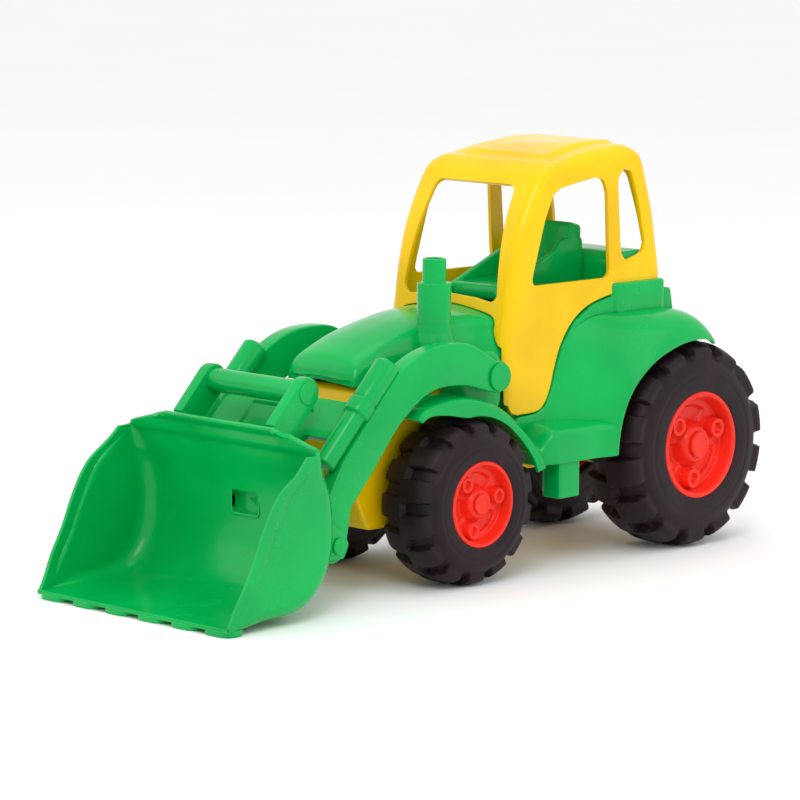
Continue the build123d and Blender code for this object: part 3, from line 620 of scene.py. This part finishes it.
def front_fender():
    """A sheet carried along the fender's arch: flat from the chassis, rounded over the shoulder, and
    down the lip to a circle just clear of the tyre."""
    path = through(FENDER_TOP, 110)
    hub = FRONT_HUB[1:]
    outward = path - hub
    reach = np.linalg.norm(outward, axis=1)
    outward /= reach[:, None]
    depth = np.clip(reach - (FRONT_RADIUS + FRONT_ARCH_CLEAR), 2.5, 14.0)
    depth = 2.5 + (depth - 2.5) * ease(-0.1, 0.34, np.linspace(0, 1, len(path)))
    turn, x_out, shoulder = 5.0, 75.0, -0.9
    limit = np.minimum(turn, depth * 0.7)
    level = np.ones(len(path))
    rows = []
    for x in np.linspace(36, x_out - turn, 24):
        dip = 1.6 * ease(52, 42, x) - shoulder * ease(58, x_out - turn, x)
        rows.append((x * level, -dip * level))
    for angle in np.linspace(0, math.pi / 2, 9)[1:]:
        x = x_out - turn + turn * math.sin(angle)
        rows.append((x * level, shoulder - limit * (1 - math.cos(angle))))
    for share in np.linspace(0, 1, 10)[1:]:
        start = shoulder - limit
        rows.append((x_out * level, start + share * (-depth - start)))
    x = np.stack([row[0] for row in rows])
    drop = np.stack([row[1] for row in rows])
    foot = ease(0.72, 1.0, np.linspace(0, 1, len(path)))[None, :]
    x = x + 5.2 * foot * ease(45, 70, x)
    points = np.stack([x, path[None, :, 0] + outward[None, :, 0] * drop,
                       path[None, :, 1] + outward[None, :, 1] * drop], axis=-1)
    return sheet(points)


FLARE_ROOT = [(57, 54, 93), (57, 62, 106), (57, 67.5, 120), (57, 72, 134), (57, 79, 149), (57.5, 91, 160),
              (58.5, 109, 165.5), (60, 135, 166), (60, 160, 166), (59, 178, 165.5), (57, 192, 162.5),
              (54, 203, 156), (52, 210, 147)]
FLARE_KNEE = [(66, 86, 80), (65, 89, 95), (65, 91, 109), (65.5, 95, 122), (67, 102, 135), (71, 113, 148),
              (77, 129, 158), (81, 147, 163), (82.5, 166, 164.5), (82, 181, 164), (80.5, 194, 161),
              (78, 204, 154.5), (76, 210, 147.5)]
FLARE_LIP = [(84, 102.6, 74), (84, 104, 86), (84, 107, 98), (84, 112.5, 110), (84, 121, 121), (84, 132, 130),
             (84, 144, 137), (84, 158, 142.2), (84, 170, 145.2), (83.5, 182, 146.4), (82.5, 193, 146),
             (81, 202, 144), (79.5, 208, 141)]


def rear_fender():
    """The flared side and rear fender: for each place along the arch, a parabola from the body's side
    through a knee to the lip, turned in slightly at the very edge."""
    root, knee, lip = (through(line, 130) for line in (FLARE_ROOT, FLARE_KNEE, FLARE_LIP))
    t = np.linspace(0, 1, 46)[:, None, None]
    points = (1 - t) ** 2 * root + 2 * t * (1 - t) * knee + t ** 2 * lip
    hub = np.array([0, REAR_HUB[1], REAR_HUB[2]])
    inward = (hub - lip) * (0, 1, 1)
    inward /= np.linalg.norm(inward, axis=1, keepdims=True)
    band = [points[-1:] + inward * depth + (shift, 0, 0) for depth, shift in ((0.8, 0.1), (1.8, 0.0))]
    return sheet(np.concatenate([points, *band]))


def step_box():
    """A sheet carried along the side below the doorway: a sloping tread, a rounded edge and a skirt. It
    leans out towards the rear fender and in towards the front one."""
    profile = round_profile([(55, 99.5), (64, 98.5), (75, 96.5), (79.8, 93.5), (80.6, 85), (80.8, 73)], 3.5, 5)
    line = evenly(profile, 44)
    y = np.linspace(33, 105, 60)
    lean = (3.0 * ease(84, 104, y) - 4.5 * ease(48, 34, y))[None, :]
    x = line[:, None, 0] + lean * ease(58, 76, line[:, 0])[:, None]
    z = line[:, None, 1] + (-12.0 * ease(47, 34, y))[None, :] * ease(72, 95, line[:, None, 1])
    y_all = np.broadcast_to(y[None, :], x.shape)
    return sheet(np.stack([x, y_all, z], axis=-1))


ARM_IN, ARM_OUT = 58.0, 70.0
ARM_TOP = [(-0.7, 145.7), (-10, 151), (-27, 159.5), (-50, 160.9), (-70, 157.5), (-88, 149), (-100.4, 137.7)]
ARM_UNDER = [(-134, 64), (-118, 81), (-94, 109), (-81, 120), (-68, 128.5), (-53, 132.8), (-30, 132.2),
             (-12, 127.5), (-0.7, 124.5)]
ARM_SLOPE = math.radians(46)
BARREL_TOP = (-94.0, 151.0)
PANEL_TOP = (-121.0, 129.0)
HANDLE_TOP = (-151.0, 136.6)


def along(start, forward, out=0.0):
    """A point reached from start by going down the arm's slope and then square out in front of it."""
    return (start[0] - forward * math.cos(ARM_SLOPE) - out * math.sin(ARM_SLOPE),
            start[1] - forward * math.sin(ARM_SLOPE) + out * math.cos(ARM_SLOPE))


def arc(centre, radius, start, end, count=14):
    """Points on a circle from one angle to another, in degrees."""
    angle = np.radians(np.linspace(start, end, count))
    return np.stack([centre[0] + radius * np.cos(angle), centre[1] + radius * np.sin(angle)], axis=1)


def arm():
    """One arm: its side outline with a boss at the lift pin and an eye at the tilt pin."""
    top = through(ARM_TOP, 60)
    under = through(ARM_UNDER, 60)
    boss = arc(LIFT_PIN[1:], 10.8, -100, 95, 20)
    eye = arc(TILT_PIN[1:], 12.0, 150, 360, 24)
    outline = np.vstack([top, [(-141, 94), (-157, 68)], eye, under, boss[1:-1]])
    line = evenly(np.vstack([outline, outline[:1]]), 260, closed=True)
    return profile_plate(line, ARM_IN, ARM_OUT, 1.5)


def cylinder_dummy():
    """Barrel, collar and rod of the dummy cylinder in one turning, with a domed, many-sided barrel top."""
    profile = round_profile([(-1.0, 0), (-1.0, 6.2), (1.2, 8.6), (29.5, 8.6), (30, 8.2), (31.5, 8.2), (32, 9.2),
                             (41, 9.2), (42, 8.0), (43, 7.0), (81, 7.0), (82, 6.0), (82, 0)], 0.8, 3)
    axis = (0, -math.cos(ARM_SLOPE), -math.sin(ARM_SLOPE))
    return turned(profile, (ARM_OUT - 8.6, *BARREL_TOP), axis, 48)


def cross_panel():
    """The plate between the arms, as a flat grid down the arms' slope with two windows and a rim."""
    s = np.linspace(0, 56, 72)
    x = np.linspace(-ARM_IN - 0.5, ARM_IN + 0.5, 160)
    grid_x, grid_s = np.meshgrid(x, s, indexing="ij")
    keep = np.minimum(-inside(np.abs(grid_x), grid_s, box_outline(32, 62, 29, 47, 2)), CLEAR)
    recess = np.minimum(-inside(np.abs(grid_x), grid_s, box_outline(-29, 29, 9, 48, 2)), 2.0)
    sink = -1.6 * ease(0, -1.2, recess)
    y, z = along(PANEL_TOP, grid_s, sink - 0.5)
    return sheet(np.stack([grid_x, y, z], axis=-1), keep)


BUCKET_BACK = [(-259.5, 3.0), (-224, 4), (-198, 5.6), (-182, 11.5), (-170, 25), (-163.5, 42), (-163, 62),
               (-166, 80), (-172, 97), (-179, 119)]
BUCKET_FRONT = [(-259.5, 3.4), (-248.5, 25), (-238, 44), (-228.5, 65), (-215.5, 88), (-202, 105), (-191, 118.5)]
POCKET = box_outline(-7, 17, 56, 71, 1.5)


def scoop():
    """The bucket's shell: at each place up the back, a cross-section that runs forwards along one side,
    round a soft corner, across the back, round the other corner and forwards again. Its rim flares
    outwards in a narrow flange, and its top corners are cut off on a slope."""
    rows = 120
    back, front = through(BUCKET_BACK, rows), through(BUCKET_FRONT, rows)
    depth = front - back
    reach = np.linalg.norm(depth, axis=1)[:, None]
    forward = depth / np.maximum(reach, 1e-6)
    corner = np.minimum(14.0, 0.4 * reach)
    side = np.linspace(1, 0, 42, endpoint=False)[None, :]
    turn = np.linspace(0, math.pi / 2, 9)[None, :-1]
    across = np.linspace(1, -1, 121)[None, :]
    half = BUCKET_HALF - 1.6
    w_side = corner + (reach - corner) * side
    w_turn = corner * (1 - np.sin(turn))
    w = np.hstack([w_side, w_turn, np.zeros((rows, across.size)), w_turn[:, ::-1], w_side[:, ::-1]])
    x_turn = half - corner * (1 - np.cos(turn))
    x_across = across * (half - corner)
    x = np.hstack([np.full_like(w_side, half), x_turn, x_across, -x_turn[:, ::-1], np.full_like(w_side, -half)])
    flange = ease(9.5, 7.5, reach - w) * ease(12, 40, reach)
    x = x + np.sign(x) * 1.5 * flange
    y = back[:, None, 0] + forward[:, None, 0] * w
    z = back[:, None, 1] + forward[:, None, 1] * w
    top_limit = 118.6 - np.maximum(0, np.abs(x) - 50) * 0.26 - 3.5 * ease(84, 92, np.abs(x))
    base = np.minimum(z, 9.0)
    scale = (top_limit - base) / (118.8 - base)
    high = ease(70, 118, z)
    z = z * (1 - high) + (base + (z - base) * scale) * high
    visor = ease(104, 106.5, z) * ease(0.97, 0.9, np.abs(x) / BUCKET_HALF) * (w < 1)
    lip = ease(115.0, 116.6, z) * (w < 1)
    y = y - 2.2 * visor - 3.0 * lip
    opening = np.minimum(-inside(x, z, POCKET), 20)
    return sheet(np.stack([x, y, z], axis=-1), np.where(w < 1, opening, 20))


def teeth():
    """Flat rounded teeth side by side under the bucket's lip."""
    shapes = []
    for index in range(6):
        centre = (index - 2.5) * 31.0
        outline = box_outline(centre - 12.5, centre + 12.5, -260.4, -242.5, 8.5)
        shapes.append(profile_plate(outline, 0.0, 4.4, 1.1, axis=2))
    return join_shapes(shapes)


def pocket():
    """A hollow behind the opening in the bucket's back: the opening's outline carried backwards, then
    drawn in to close the floor."""
    outline = evenly(POCKET, 96, closed=True)
    centre = outline.mean(axis=0)
    rows = []
    for depth, share in ((-166.4, 1.0), (-163.5, 1.0), (-160.6, 0.99), (-159.8, 0.94), (-159.7, 0.5),
                         (-159.7, 0.02)):
        ring = centre + (outline - centre) * share
        rows.append(np.stack([ring[:, 0], np.full(len(ring), depth), ring[:, 1]], axis=1))
    return sheet(np.stack(rows), wrap_columns=True)


def bucket_ears():
    """The four ears that hold the tilt pins behind the bucket."""
    y, z = TILT_PIN[1:]
    outline = rounded([(-163.8, 66), (-160, 60), (y + 5, z + 9), (y + 9.6, z), (y + 5, z - 9), (-165.4, 35)], 3)
    shapes = [profile_plate(outline, x, x + 4, 0.8) for x in (53.6, 70.4)]
    return join_shapes([flip_side(shape, side) for shape in shapes for side in (1, -1)])


def tilt_grip():
    """Two levers rising from the bucket's back, with round bosses and a bar between them."""
    shapes = []
    outer = extent("tilt_handle")[1][0]
    inner = outer - 9.0
    for side in (1, -1):
        head = arc(HANDLE_TOP, 10.4, -44, 136, 26)
        foot = [along(HANDLE_TOP, 33.5, 9.8), along(HANDLE_TOP, 45, -10.0)]
        outline = evenly(np.vstack([head, foot, head[:1]]), 150, closed=True)
        shapes.append(flip_side(profile_plate(outline, inner, outer - 0.9, 1.5), side))
        disc = round_profile([(0, 0), (0, 7.4), (1.5, 7.4), (1.5, 0)], 0.6, 3)
        shapes.append(turned(disc, (side * (outer - 1.5), *HANDLE_TOP), (side, 0, 0), 40))
    bar = [(-inner - 1, 0), (-inner - 1, 7.8), (inner + 1, 7.8), (inner + 1, 0)]
    shapes.append(turned(bar, (0, *HANDLE_TOP), (1, 0, 0), 48))
    return join_shapes(shapes)


def exhaust():
    """The stack: a flared foot, a barrel with shallow flutes and a plain pipe with a hollow end."""
    foot = extent("exhaust_stack")[0][2] - 6
    profile = round_profile([(foot, 0), (foot, 15.0), (158, 14.2), (164, 12.2), (169, 11.3), (196.4, 11.3),
                             (196.6, 7.9), (211.8, 7.8), (212.4, 7.2), (212.3, 5.6), (203, 5.2), (203, 0)],
                            0.7, 4)

    def flutes(angle, height):
        return -0.35 * np.abs(np.sin(angle * 9)) * ease(170, 173, height) * ease(195, 193, height)

    return turned(profile, (STACK[0], STACK[1], 0), (0, 0, 1), 108, flutes)


def seat():
    """The driver's seat: a raked back with rounded corners between two side wings."""
    wing = [(48, 176.5), (48, 184), (104, 207), (110, 214), (131, 216), (131, 176.5)]
    back = rounded([(108, 182), (119, 226), (130.5, 223), (130.5, 182)], 3)
    cushion = rounded([(50, 176.5), (50, 186.5), (112, 190), (112, 176.5)], 4)
    shapes = [flip_side(profile_plate(rounded(wing, 4), 20.0, 25.0, 1.2), side) for side in (1, -1)]
    shapes.append(profile_plate(back, -24.8, 24.8, 3.0))
    shapes.append(profile_plate(cushion, -20.2, 20.2, 1.0))
    return join_shapes(shapes)


LUGS_PER_SIDE = 14
TYRE_STEPS = 504
RIM_STEPS = 240
BOSS_CIRCLE = 23.6


def around(hub, sign, x, r, angle):
    """Points at the distance x from the middle plane and the radius r round a wheel's axle."""
    y, z = hub[1] + r * np.cos(angle), hub[2] + r * np.sin(angle)
    return np.stack(np.broadcast_arrays(sign * x, y, z), axis=-1)


def tyre(node, rim_radius):
    """A closed ring profile turned round the hub. Blocks of tread push it out along its own normal:
    each is a soft box in angle and width, leaning back, and the two shoulders take turns."""
    hub, radius, sign, x_in, x_out = round_node(node)
    base = radius * 0.925
    centre, half = (x_in + x_out) / 2, (x_out - x_in) / 2
    side = rim_radius + 0.46 * (radius - rim_radius)
    outer = through([(x_in + 1.6, rim_radius - 0.6), (x_in + 0.3, rim_radius + 2), (x_in + 0.4, side),
                     (centre - 0.84 * half, base - 5.6), (centre - 0.5 * half, base - 0.9), (centre, base),
                     (centre + 0.5 * half, base - 0.9), (centre + 0.84 * half, base - 5.6),
                     (x_out - 0.4, side), (x_out - 0.3, rim_radius + 2), (x_out - 1.6, rim_radius - 0.6)], 76)
    inner = np.stack([np.linspace(x_out - 1.6, x_in + 1.6, 6)[1:-1], np.full(4, rim_radius - 0.6)], axis=1)
    line = np.vstack([outer, inner])
    slope = np.roll(line, -1, axis=0) - np.roll(line, 1, axis=0)
    normal = np.stack([-slope[:, 1], slope[:, 0]], axis=1)
    normal /= np.linalg.norm(normal, axis=1, keepdims=True) + 1e-9
    angle = np.linspace(0, 2 * math.pi, TYRE_STEPS, endpoint=False)[None, :]
    width = ((line[:, 0] - centre) / half)[:, None]
    pitch = 2 * math.pi / LUGS_PER_SIDE
    tread_depth = radius - side
    tall = ease(side + 0.28 * tread_depth, side + 0.5 * tread_depth, line[:, 1])[:, None]
    lift = np.zeros((len(line), angle.size))
    for direction, shift in ((1, 0.0), (-1, 0.5)):
        lean = 0.10 * width * direction
        phase = np.abs(((angle / pitch + shift + lean) % 1.0) - 0.5)
        block = ease(0.345, 0.305, phase)
        lift = np.maximum(lift, block * ease(-0.10, -0.02, width * direction) * tall)
    groove = 0.35 * ease(1.2, 0.4, np.abs(line[:, 1] - (rim_radius + 0.72 * (side - rim_radius))))[:, None]
    height = radius - base
    x = line[:, 0][:, None] + normal[:, 0][:, None] * height * lift
    r = line[:, 1][:, None] + normal[:, 1][:, None] * height * lift
    x = x - np.sign(x - centre) * groove * (np.abs(width) > 0.8)
    x = np.clip(x, x_in, x_out)
    r = np.minimum(r, radius)
    points = around(hub, sign, x, r, angle)
    return points.reshape(-1, 3), grid_faces(len(line), TYRE_STEPS, True, True).tolist()


def rim(node):
    """A dished disc given as depth over radius and angle: lip, sloping wall, floor with three pockets,
    a cone in the middle and three bosses with round hollows; its back is turned plain."""
    hub, radius, sign, x_in, x_out = round_node(node)
    s = radius / 37.0
    r = np.linspace(0.4, radius, 96)
    angle = np.linspace(0, 2 * math.pi, RIM_STEPS, endpoint=False)[None, :]
    q = (r / s)[:, None]
    floor = -10.5 + 0.10 * (q - 24)
    depth = floor * (1 - ease(30.6, 34.0, q))
    depth = depth + ease(17.5, 10.8, q) * (-3.2 - floor)
    first_boss = math.radians(11 if hub[1] < 0 else 23)
    lobes = np.cos(3 * (angle - first_boss))
    pockets = ease(-0.05, -0.45, lobes) * ease(13.5, 15.5, q) * ease(27.5, 25.0, q)
    depth = depth - 3.0 * pockets
    for index in range(3):
        at = first_boss + index * 2 * math.pi / 3
        away = np.hypot(q * np.cos(angle) - BOSS_CIRCLE * math.cos(at),
                        q * np.sin(angle) - BOSS_CIRCLE * math.sin(at))
        hollow = ease(3.9, 3.2, away)
        weight = ease(7.6, 6.6, away)
        raised = np.maximum(depth, -3.6 - 1.6 * hollow)
        depth = depth * (1 - weight) + (raised - 1.2 * hollow) * weight
    edge = ease(radius / s - 1.2, radius / s, q)
    depth = (depth - 0.8 * edge ** 2) * s
    back = [(x_out - 2.5, radius), (x_out - 3.2, radius - 0.6), (x_in + 4, radius - 0.6), (x_in + 4, radius - 2.4),
            (x_out - 15 * s, radius - 4 * s), (x_out - 15 * s, 7), (x_in + 2, 7), (x_in + 2, 0.4)]
    rows = [around(hub, sign, x_out + depth, r[:, None], angle)]
    rows += [around(hub, sign, back_x, back_r, angle) for back_x, back_r in back]
    grid = np.concatenate(rows)
    faces = grid_faces(len(grid), RIM_STEPS, wrap_columns=True).tolist()
    faces.append(list(range(RIM_STEPS)))
    faces.append(list(range((len(grid) - 1) * RIM_STEPS, len(grid) * RIM_STEPS)))
    return grid.reshape(-1, 3), faces


def hub_cap(node):
    """A flat cap with a rounded edge and a faint ring, turned round the axle."""
    hub, radius, sign, near, far = round_node(node)
    length = far - near
    profile = round_profile([(0, 0), (0, radius), (length, radius), (length, radius - 2.2),
                             (length - 0.35, radius - 2.5), (length - 0.35, 0)], 0.9, 4)
    return turned(profile, (sign * near, hub[1], hub[2]), (sign, 0, 0), 64)


CHASSIS_OUTLINE = [(-90, 133), (-95, 118), (-96, 62), (-84, 38), (26, 38), (38, 62), (126, 62), (150, 56),
                   (212, 56), (224, 68), (224, 100), (19, 100), (19, 133)]
BODY_OUTLINE = [(30, 100), (30, 166), (60, 176), (132, 176), (132, 200), (138, 206), (164, 206), (170, 200),
                (174, 180), (178, 166), (192, 163), (207, 158), (219, 143), (222, 112), (222, 100)]
SIDE_OUTLINE = [(32, 94), (32, 103), (52, 104), (61, 108.5), (66.5, 119), (70.5, 132), (77, 148), (89, 163),
                (107, 173), (135, 179), (186, 179), (192, 150), (180, 120), (150, 94)]


def body_blocks():
    """The body's plainer parts: the middle block with floor and shelf, the sides around the doorways, the
    pads that carry the arms, the box behind the cab and the legs under the steps."""
    shapes = [profile_plate(rounded(BODY_OUTLINE, 4, 2.5), -52.0, 52.0, 2.5)]
    box = box_outline(-60.2, 60.2, 126, 180, 7, 2.0)
    shapes.append(profile_plate(box, 163.0, 185.8, 2.2, axis=2))
    lift_y, lift_z = LIFT_PIN[1:]
    pad = box_outline(lift_y - 20, lift_y + 16, lift_z - 27, lift_z + 15, 10)
    plates = [profile_plate(rounded(SIDE_OUTLINE, 3, 2.0), 48.0, 57.2, 1.0),
              profile_plate(pad, 34.0, 57.4, 3.0),
              profile_plate(box_outline(63, 79, 51, 72, 2.0), 49.0, 94.0, 1.4, axis=2),
              profile_plate(box_outline(60, 66.5, 53.5, 69.5, 1.0), 52.0, 90.0, 0.8, axis=2)]
    shapes += [flip_side(plate, side) for side in (1, -1) for plate in plates]
    return join_shapes(shapes)


def pin_disc(node, reach):
    """A round pin head with a soft edge, standing on the outside of the arm."""
    hub, radius, sign, inner, outer = round_node(node)
    profile = round_profile([(inner, 0), (inner, 3.0), (outer - reach, 3.0), (outer - reach, radius),
                             (outer, radius), (outer, 0)], 0.7, 4)
    return turned(profile, (0, hub[1], hub[2]), (sign, 0, 0), 64)


# ------------------------------------------------------------------ add-on
def color_setting(name, description, default):
    """A colour property with its alpha at 1."""
    return bpy.props.FloatVectorProperty(name=name, description=description, subtype="COLOR", size=4, min=0,
                                         max=1, default=(*default, 1))


def share_setting(name, description, default, most=1):
    """A property without a unit, from 0 to most."""
    return bpy.props.FloatProperty(name=name, description=description, subtype="FACTOR", default=default,
                                   min=0, max=most)


def length_setting(name, description, default, least, most):
    """A length property in metres."""
    return bpy.props.FloatProperty(name=name, description=description, subtype="DISTANCE", unit="LENGTH",
                                   precision=4, default=default, min=least, max=most)


class LoaderFinish(bpy.types.PropertyGroup):
    """Colours and finish of the loader's plastics."""

    green_plastic: color_setting("Green", "Colour of body, arms and bucket", (0.0, 0.40, 0.078))
    yellow_plastic: color_setting("Yellow", "Colour of cab and chassis", (0.88, 0.53, 0.0))
    red_plastic: color_setting("Red", "Colour of rims and hub caps", (0.84, 0.026, 0.012))
    tyre_plastic: color_setting("Tyre", "Colour of the tyres", (0.012, 0.0045, 0.007))
    axle_steel: color_setting("Steel", "Colour of axles and screws", (0.62, 0.62, 0.64))
    gloss_roughness: share_setting("Gloss", "Roughness of the glossy plastic", 0.15)
    tyre_roughness: share_setting("Tyre roughness", "Roughness of the tyres", 0.52)
    scuffs: share_setting("Scuffs", "How strongly the hairline scuffs show", 0.35)
    sink_marks: share_setting("Sink marks", "How uneven the moulded walls are", 0.4, 3)


class LoaderSizes(bpy.types.PropertyGroup):
    """Wall thickness and edge rounding of the new skins."""

    wall: length_setting("Wall", "Thickness of the cab's wall", 0.003, 0.0005, 0.006)
    edge: length_setting("Edge", "Rounding of the cut edges of cab, fenders and steps", 0.0009, 0.0001, 0.003)


def green_piece(name, shape, body, replaced):
    """A piece of green plastic."""
    return make_piece(name, *shape, body, "green_plastic", replaced)


class LOADER_OT_cab(bpy.types.Operator):
    """Build the cab's shell with its windows and roof."""

    bl_idname = "loader.cab"
    bl_label = "Cab"

    def execute(self, context):
        sizes = context.scene.loader_sizes
        piece = make_piece("cab_shell", *cab_shell(), "chassis", "yellow_plastic", "cab")
        wall(piece, sizes.wall / MM, sizes.edge / MM)
        return {"FINISHED"}


class LOADER_OT_body(bpy.types.Operator):
    """Build the hood, fenders, steps and the body's blocks."""

    bl_idname = "loader.body"
    bl_label = "Body"

    def execute(self, context):
        sizes = context.scene.loader_sizes
        wall(green_piece("hood_skin", hood(), "chassis", "upper_body"), 2.0, 0)
        for side, name in SIDES:
            for kind, shape in (("front_fender", front_fender()), ("rear_fender", rear_fender()),
                                ("step_box", step_box())):
                piece = green_piece(f"{kind}_{name}", flip_side(shape, side), "chassis", "upper_body")
                wall(piece, 2.4, sizes.edge / MM)
        green_piece("body_blocks", body_blocks(), "chassis", "upper_body")
        green_piece("seat_shell", seat(), "chassis", "driver_seat")
        green_piece("exhaust_pipe", exhaust(), "chassis", "exhaust_stack")
        return {"FINISHED"}


class LOADER_OT_chassis(bpy.types.Operator):
    """Build the chassis tray and give the axles and screws their steel."""

    bl_idname = "loader.chassis"
    bl_label = "Chassis"

    def execute(self, context):
        half = extent("lower_chassis")[1][0]
        tray = profile_plate(rounded(CHASSIS_OUTLINE, 8, 2.0), -half, half, 3.0)
        make_piece("chassis_tray", *tray, "chassis", "yellow_plastic", "lower_chassis")
        for node in ("front_axle", "rear_axle", "chassis_screws"):
            paint(node, "axle_steel")
        for _side, name in SIDES:
            pin = f"lift_pin_{name}"
            green_piece(f"lift_boss_{name}", pin_disc(pin, 1.6), "chassis", pin)
        return {"FINISHED"}


class LOADER_OT_arms(bpy.types.Operator):
    """Build the arms, the dummy cylinders and the cross panel."""

    bl_idname = "loader.arms"
    bl_label = "Loader frame"

    def execute(self, context):
        for side, name in SIDES:
            green_piece(f"arm_{name}", flip_side(arm(), side), "loader", "loader_frame")
            green_piece(f"cylinder_{name}", flip_side(cylinder_dummy(), side), "loader", "loader_frame")
        wall(green_piece("cross_panel", cross_panel(), "loader", "loader_frame"), 5.0)
        return {"FINISHED"}


class LOADER_OT_bucket(bpy.types.Operator):
    """Build the bucket with its teeth, ears, pocket and grip."""

    bl_idname = "loader.bucket"
    bl_label = "Bucket"

    def execute(self, context):
        wall(green_piece("bucket_shell", scoop(), "bucket", "bucket"), 2.8)
        green_piece("bucket_teeth", teeth(), "bucket", "bucket")
        wall(green_piece("bucket_pocket", pocket(), "bucket", "bucket"), 1.6, 0.3, offset=1.0)
        green_piece("bucket_ears", bucket_ears(), "bucket", "bucket")
        green_piece("grip", tilt_grip(), "bucket", "tilt_handle")
        for _side, name in SIDES:
            pin = f"tilt_pin_{name}"
            green_piece(f"tilt_boss_{name}", pin_disc(pin, 2.0), "bucket", pin)
        return {"FINISHED"}


class LOADER_OT_wheels(bpy.types.Operator):
    """Build the tyres, rims and hub caps of the four wheels."""

    bl_idname = "loader.wheels"
    bl_label = "Wheels"

    def execute(self, context):
        for end in ("front", "rear"):
            for _side, name in SIDES:
                place = f"{end}_{name}"
                body, rubber, disc, cap = (f"{kind}_{place}" for kind in ("wheel", "tyre", "rim", "hub_cap"))
                rim_radius = round_node(disc)[1]
                make_piece(f"tread_{place}", *tyre(rubber, rim_radius), body, "tyre_plastic", rubber,
                           smooth_angle=50)
                make_piece(f"disc_{place}", *rim(disc), body, "red_plastic", disc, smooth_angle=50)
                make_piece(f"cap_{place}", *hub_cap(cap), body, "red_plastic", cap)
        return {"FINISHED"}


CAMERA_AT = (1.84816, -1.89114, 0.50007)
CAMERA_RIGHT = (0.71068, 0.70348, 0.00666)
CAMERA_UP = (-0.10675, 0.09848, 0.98940)
CAMERA_BACK = (0.69537, -0.70386, 0.14509)
FLOOR_HALF = 30
# Name, place, disc size in metres, power in watts; each light faces the origin.
LIGHTS = (
    ("key", (1.1, -1.3, 1.7), 1.0, 13.0),
    ("fill", (2.0, 0.9, 1.2), 1.4, 4.0),
    ("left_fill", (-1.6, -1.4, 1.3), 1.4, 2.5),
    ("top", (0.0, 0.1, 2.1), 1.6, 7.0),
)


class LOADER_OT_stage(bpy.types.Operator):
    """Set the pale floor, the soft lights and the camera."""

    bl_idname = "loader.stage"
    bl_label = "Stage"

    def execute(self, context):
        scene = context.scene
        mesh = bpy.data.meshes.new("floor")
        far = FLOOR_HALF
        mesh.from_pydata([(-far, -far, 0), (far, -far, 0), (far, far, 0), (-far, far, 0)], [], [(0, 1, 2, 3)])
        floor = bpy.data.objects.new("floor", mesh)
        scene.collection.objects.link(floor)
        made, shader, shade = new_surface("floor_paper", 0.75, 0.2)
        place = shade.place()
        base = noise(shade, place, 3.0).tint((0.92, 0.92, 0.925, 1), (0.95, 0.95, 0.95, 1))
        made.node_tree.links.new(base.socket, shader.inputs["Base Color"])
        mesh.materials.append(made)
        world = bpy.data.worlds.new("studio")
        scene.world = world
        world.use_nodes = True
        background = world.node_tree.nodes["Background"]
        background.inputs["Color"].default_value = (1.0, 1.0, 1.0, 1)
        background.inputs["Strength"].default_value = 1.0
        for name, place, size, power in LIGHTS:
            light = bpy.data.lights.new(name, "AREA")
            light.shape = "DISK"
            light.size = size
            light.energy = power
            lamp = bpy.data.objects.new(name, light)
            lamp.location = place
            lamp.rotation_euler = (-lamp.location).to_track_quat("-Z", "Y").to_euler()
            scene.collection.objects.link(lamp)
        lens = bpy.data.cameras.new("camera")
        lens.lens = 180.0
        lens.sensor_width = 36.0
        lens.clip_end = 50.0
        camera = bpy.data.objects.new("camera", lens)
        turn = Matrix((CAMERA_RIGHT, CAMERA_UP, CAMERA_BACK)).transposed()
        camera.matrix_world = Matrix.Translation(CAMERA_AT) @ turn.to_4x4()
        scene.collection.objects.link(camera)
        scene.camera = camera
        scene.view_settings.view_transform = "Standard"
        return {"FINISHED"}


class LOADER_PT_panel(bpy.types.Panel):
    """Lists the loader's settings and pieces."""

    bl_label = "Toy Front Loader"
    bl_space_type = "VIEW_3D"
    bl_region_type = "UI"
    bl_category = "Loader"

    def draw(self, context):
        column = self.layout.column()
        for group in (context.scene.loader_finish, context.scene.loader_sizes):
            for name in group.__annotations__:
                column.prop(group, name)
        for operator in PIECES:
            column.operator(operator.bl_idname)


PIECES = (LOADER_OT_stage, LOADER_OT_chassis, LOADER_OT_body, LOADER_OT_cab, LOADER_OT_arms,
          LOADER_OT_bucket, LOADER_OT_wheels)
CLASSES = (LoaderFinish, LoaderSizes, *PIECES, LOADER_PT_panel)


def register():
    for item in CLASSES:
        bpy.utils.register_class(item)
    bpy.types.Scene.loader_finish = bpy.props.PointerProperty(type=LoaderFinish)
    bpy.types.Scene.loader_sizes = bpy.props.PointerProperty(type=LoaderSizes)


def unregister():
    del bpy.types.Scene.loader_sizes
    del bpy.types.Scene.loader_finish
    for item in reversed(CLASSES):
        bpy.utils.unregister_class(item)


def main():
    register()
    bpy.ops.loader.stage()
    bpy.ops.loader.chassis()
    bpy.ops.loader.body()
    bpy.ops.loader.cab()
    bpy.ops.loader.arms()
    bpy.ops.loader.bucket()
    bpy.ops.loader.wheels()
    bpy.context.view_layer.update()


if __name__ == "__main__":
    main()
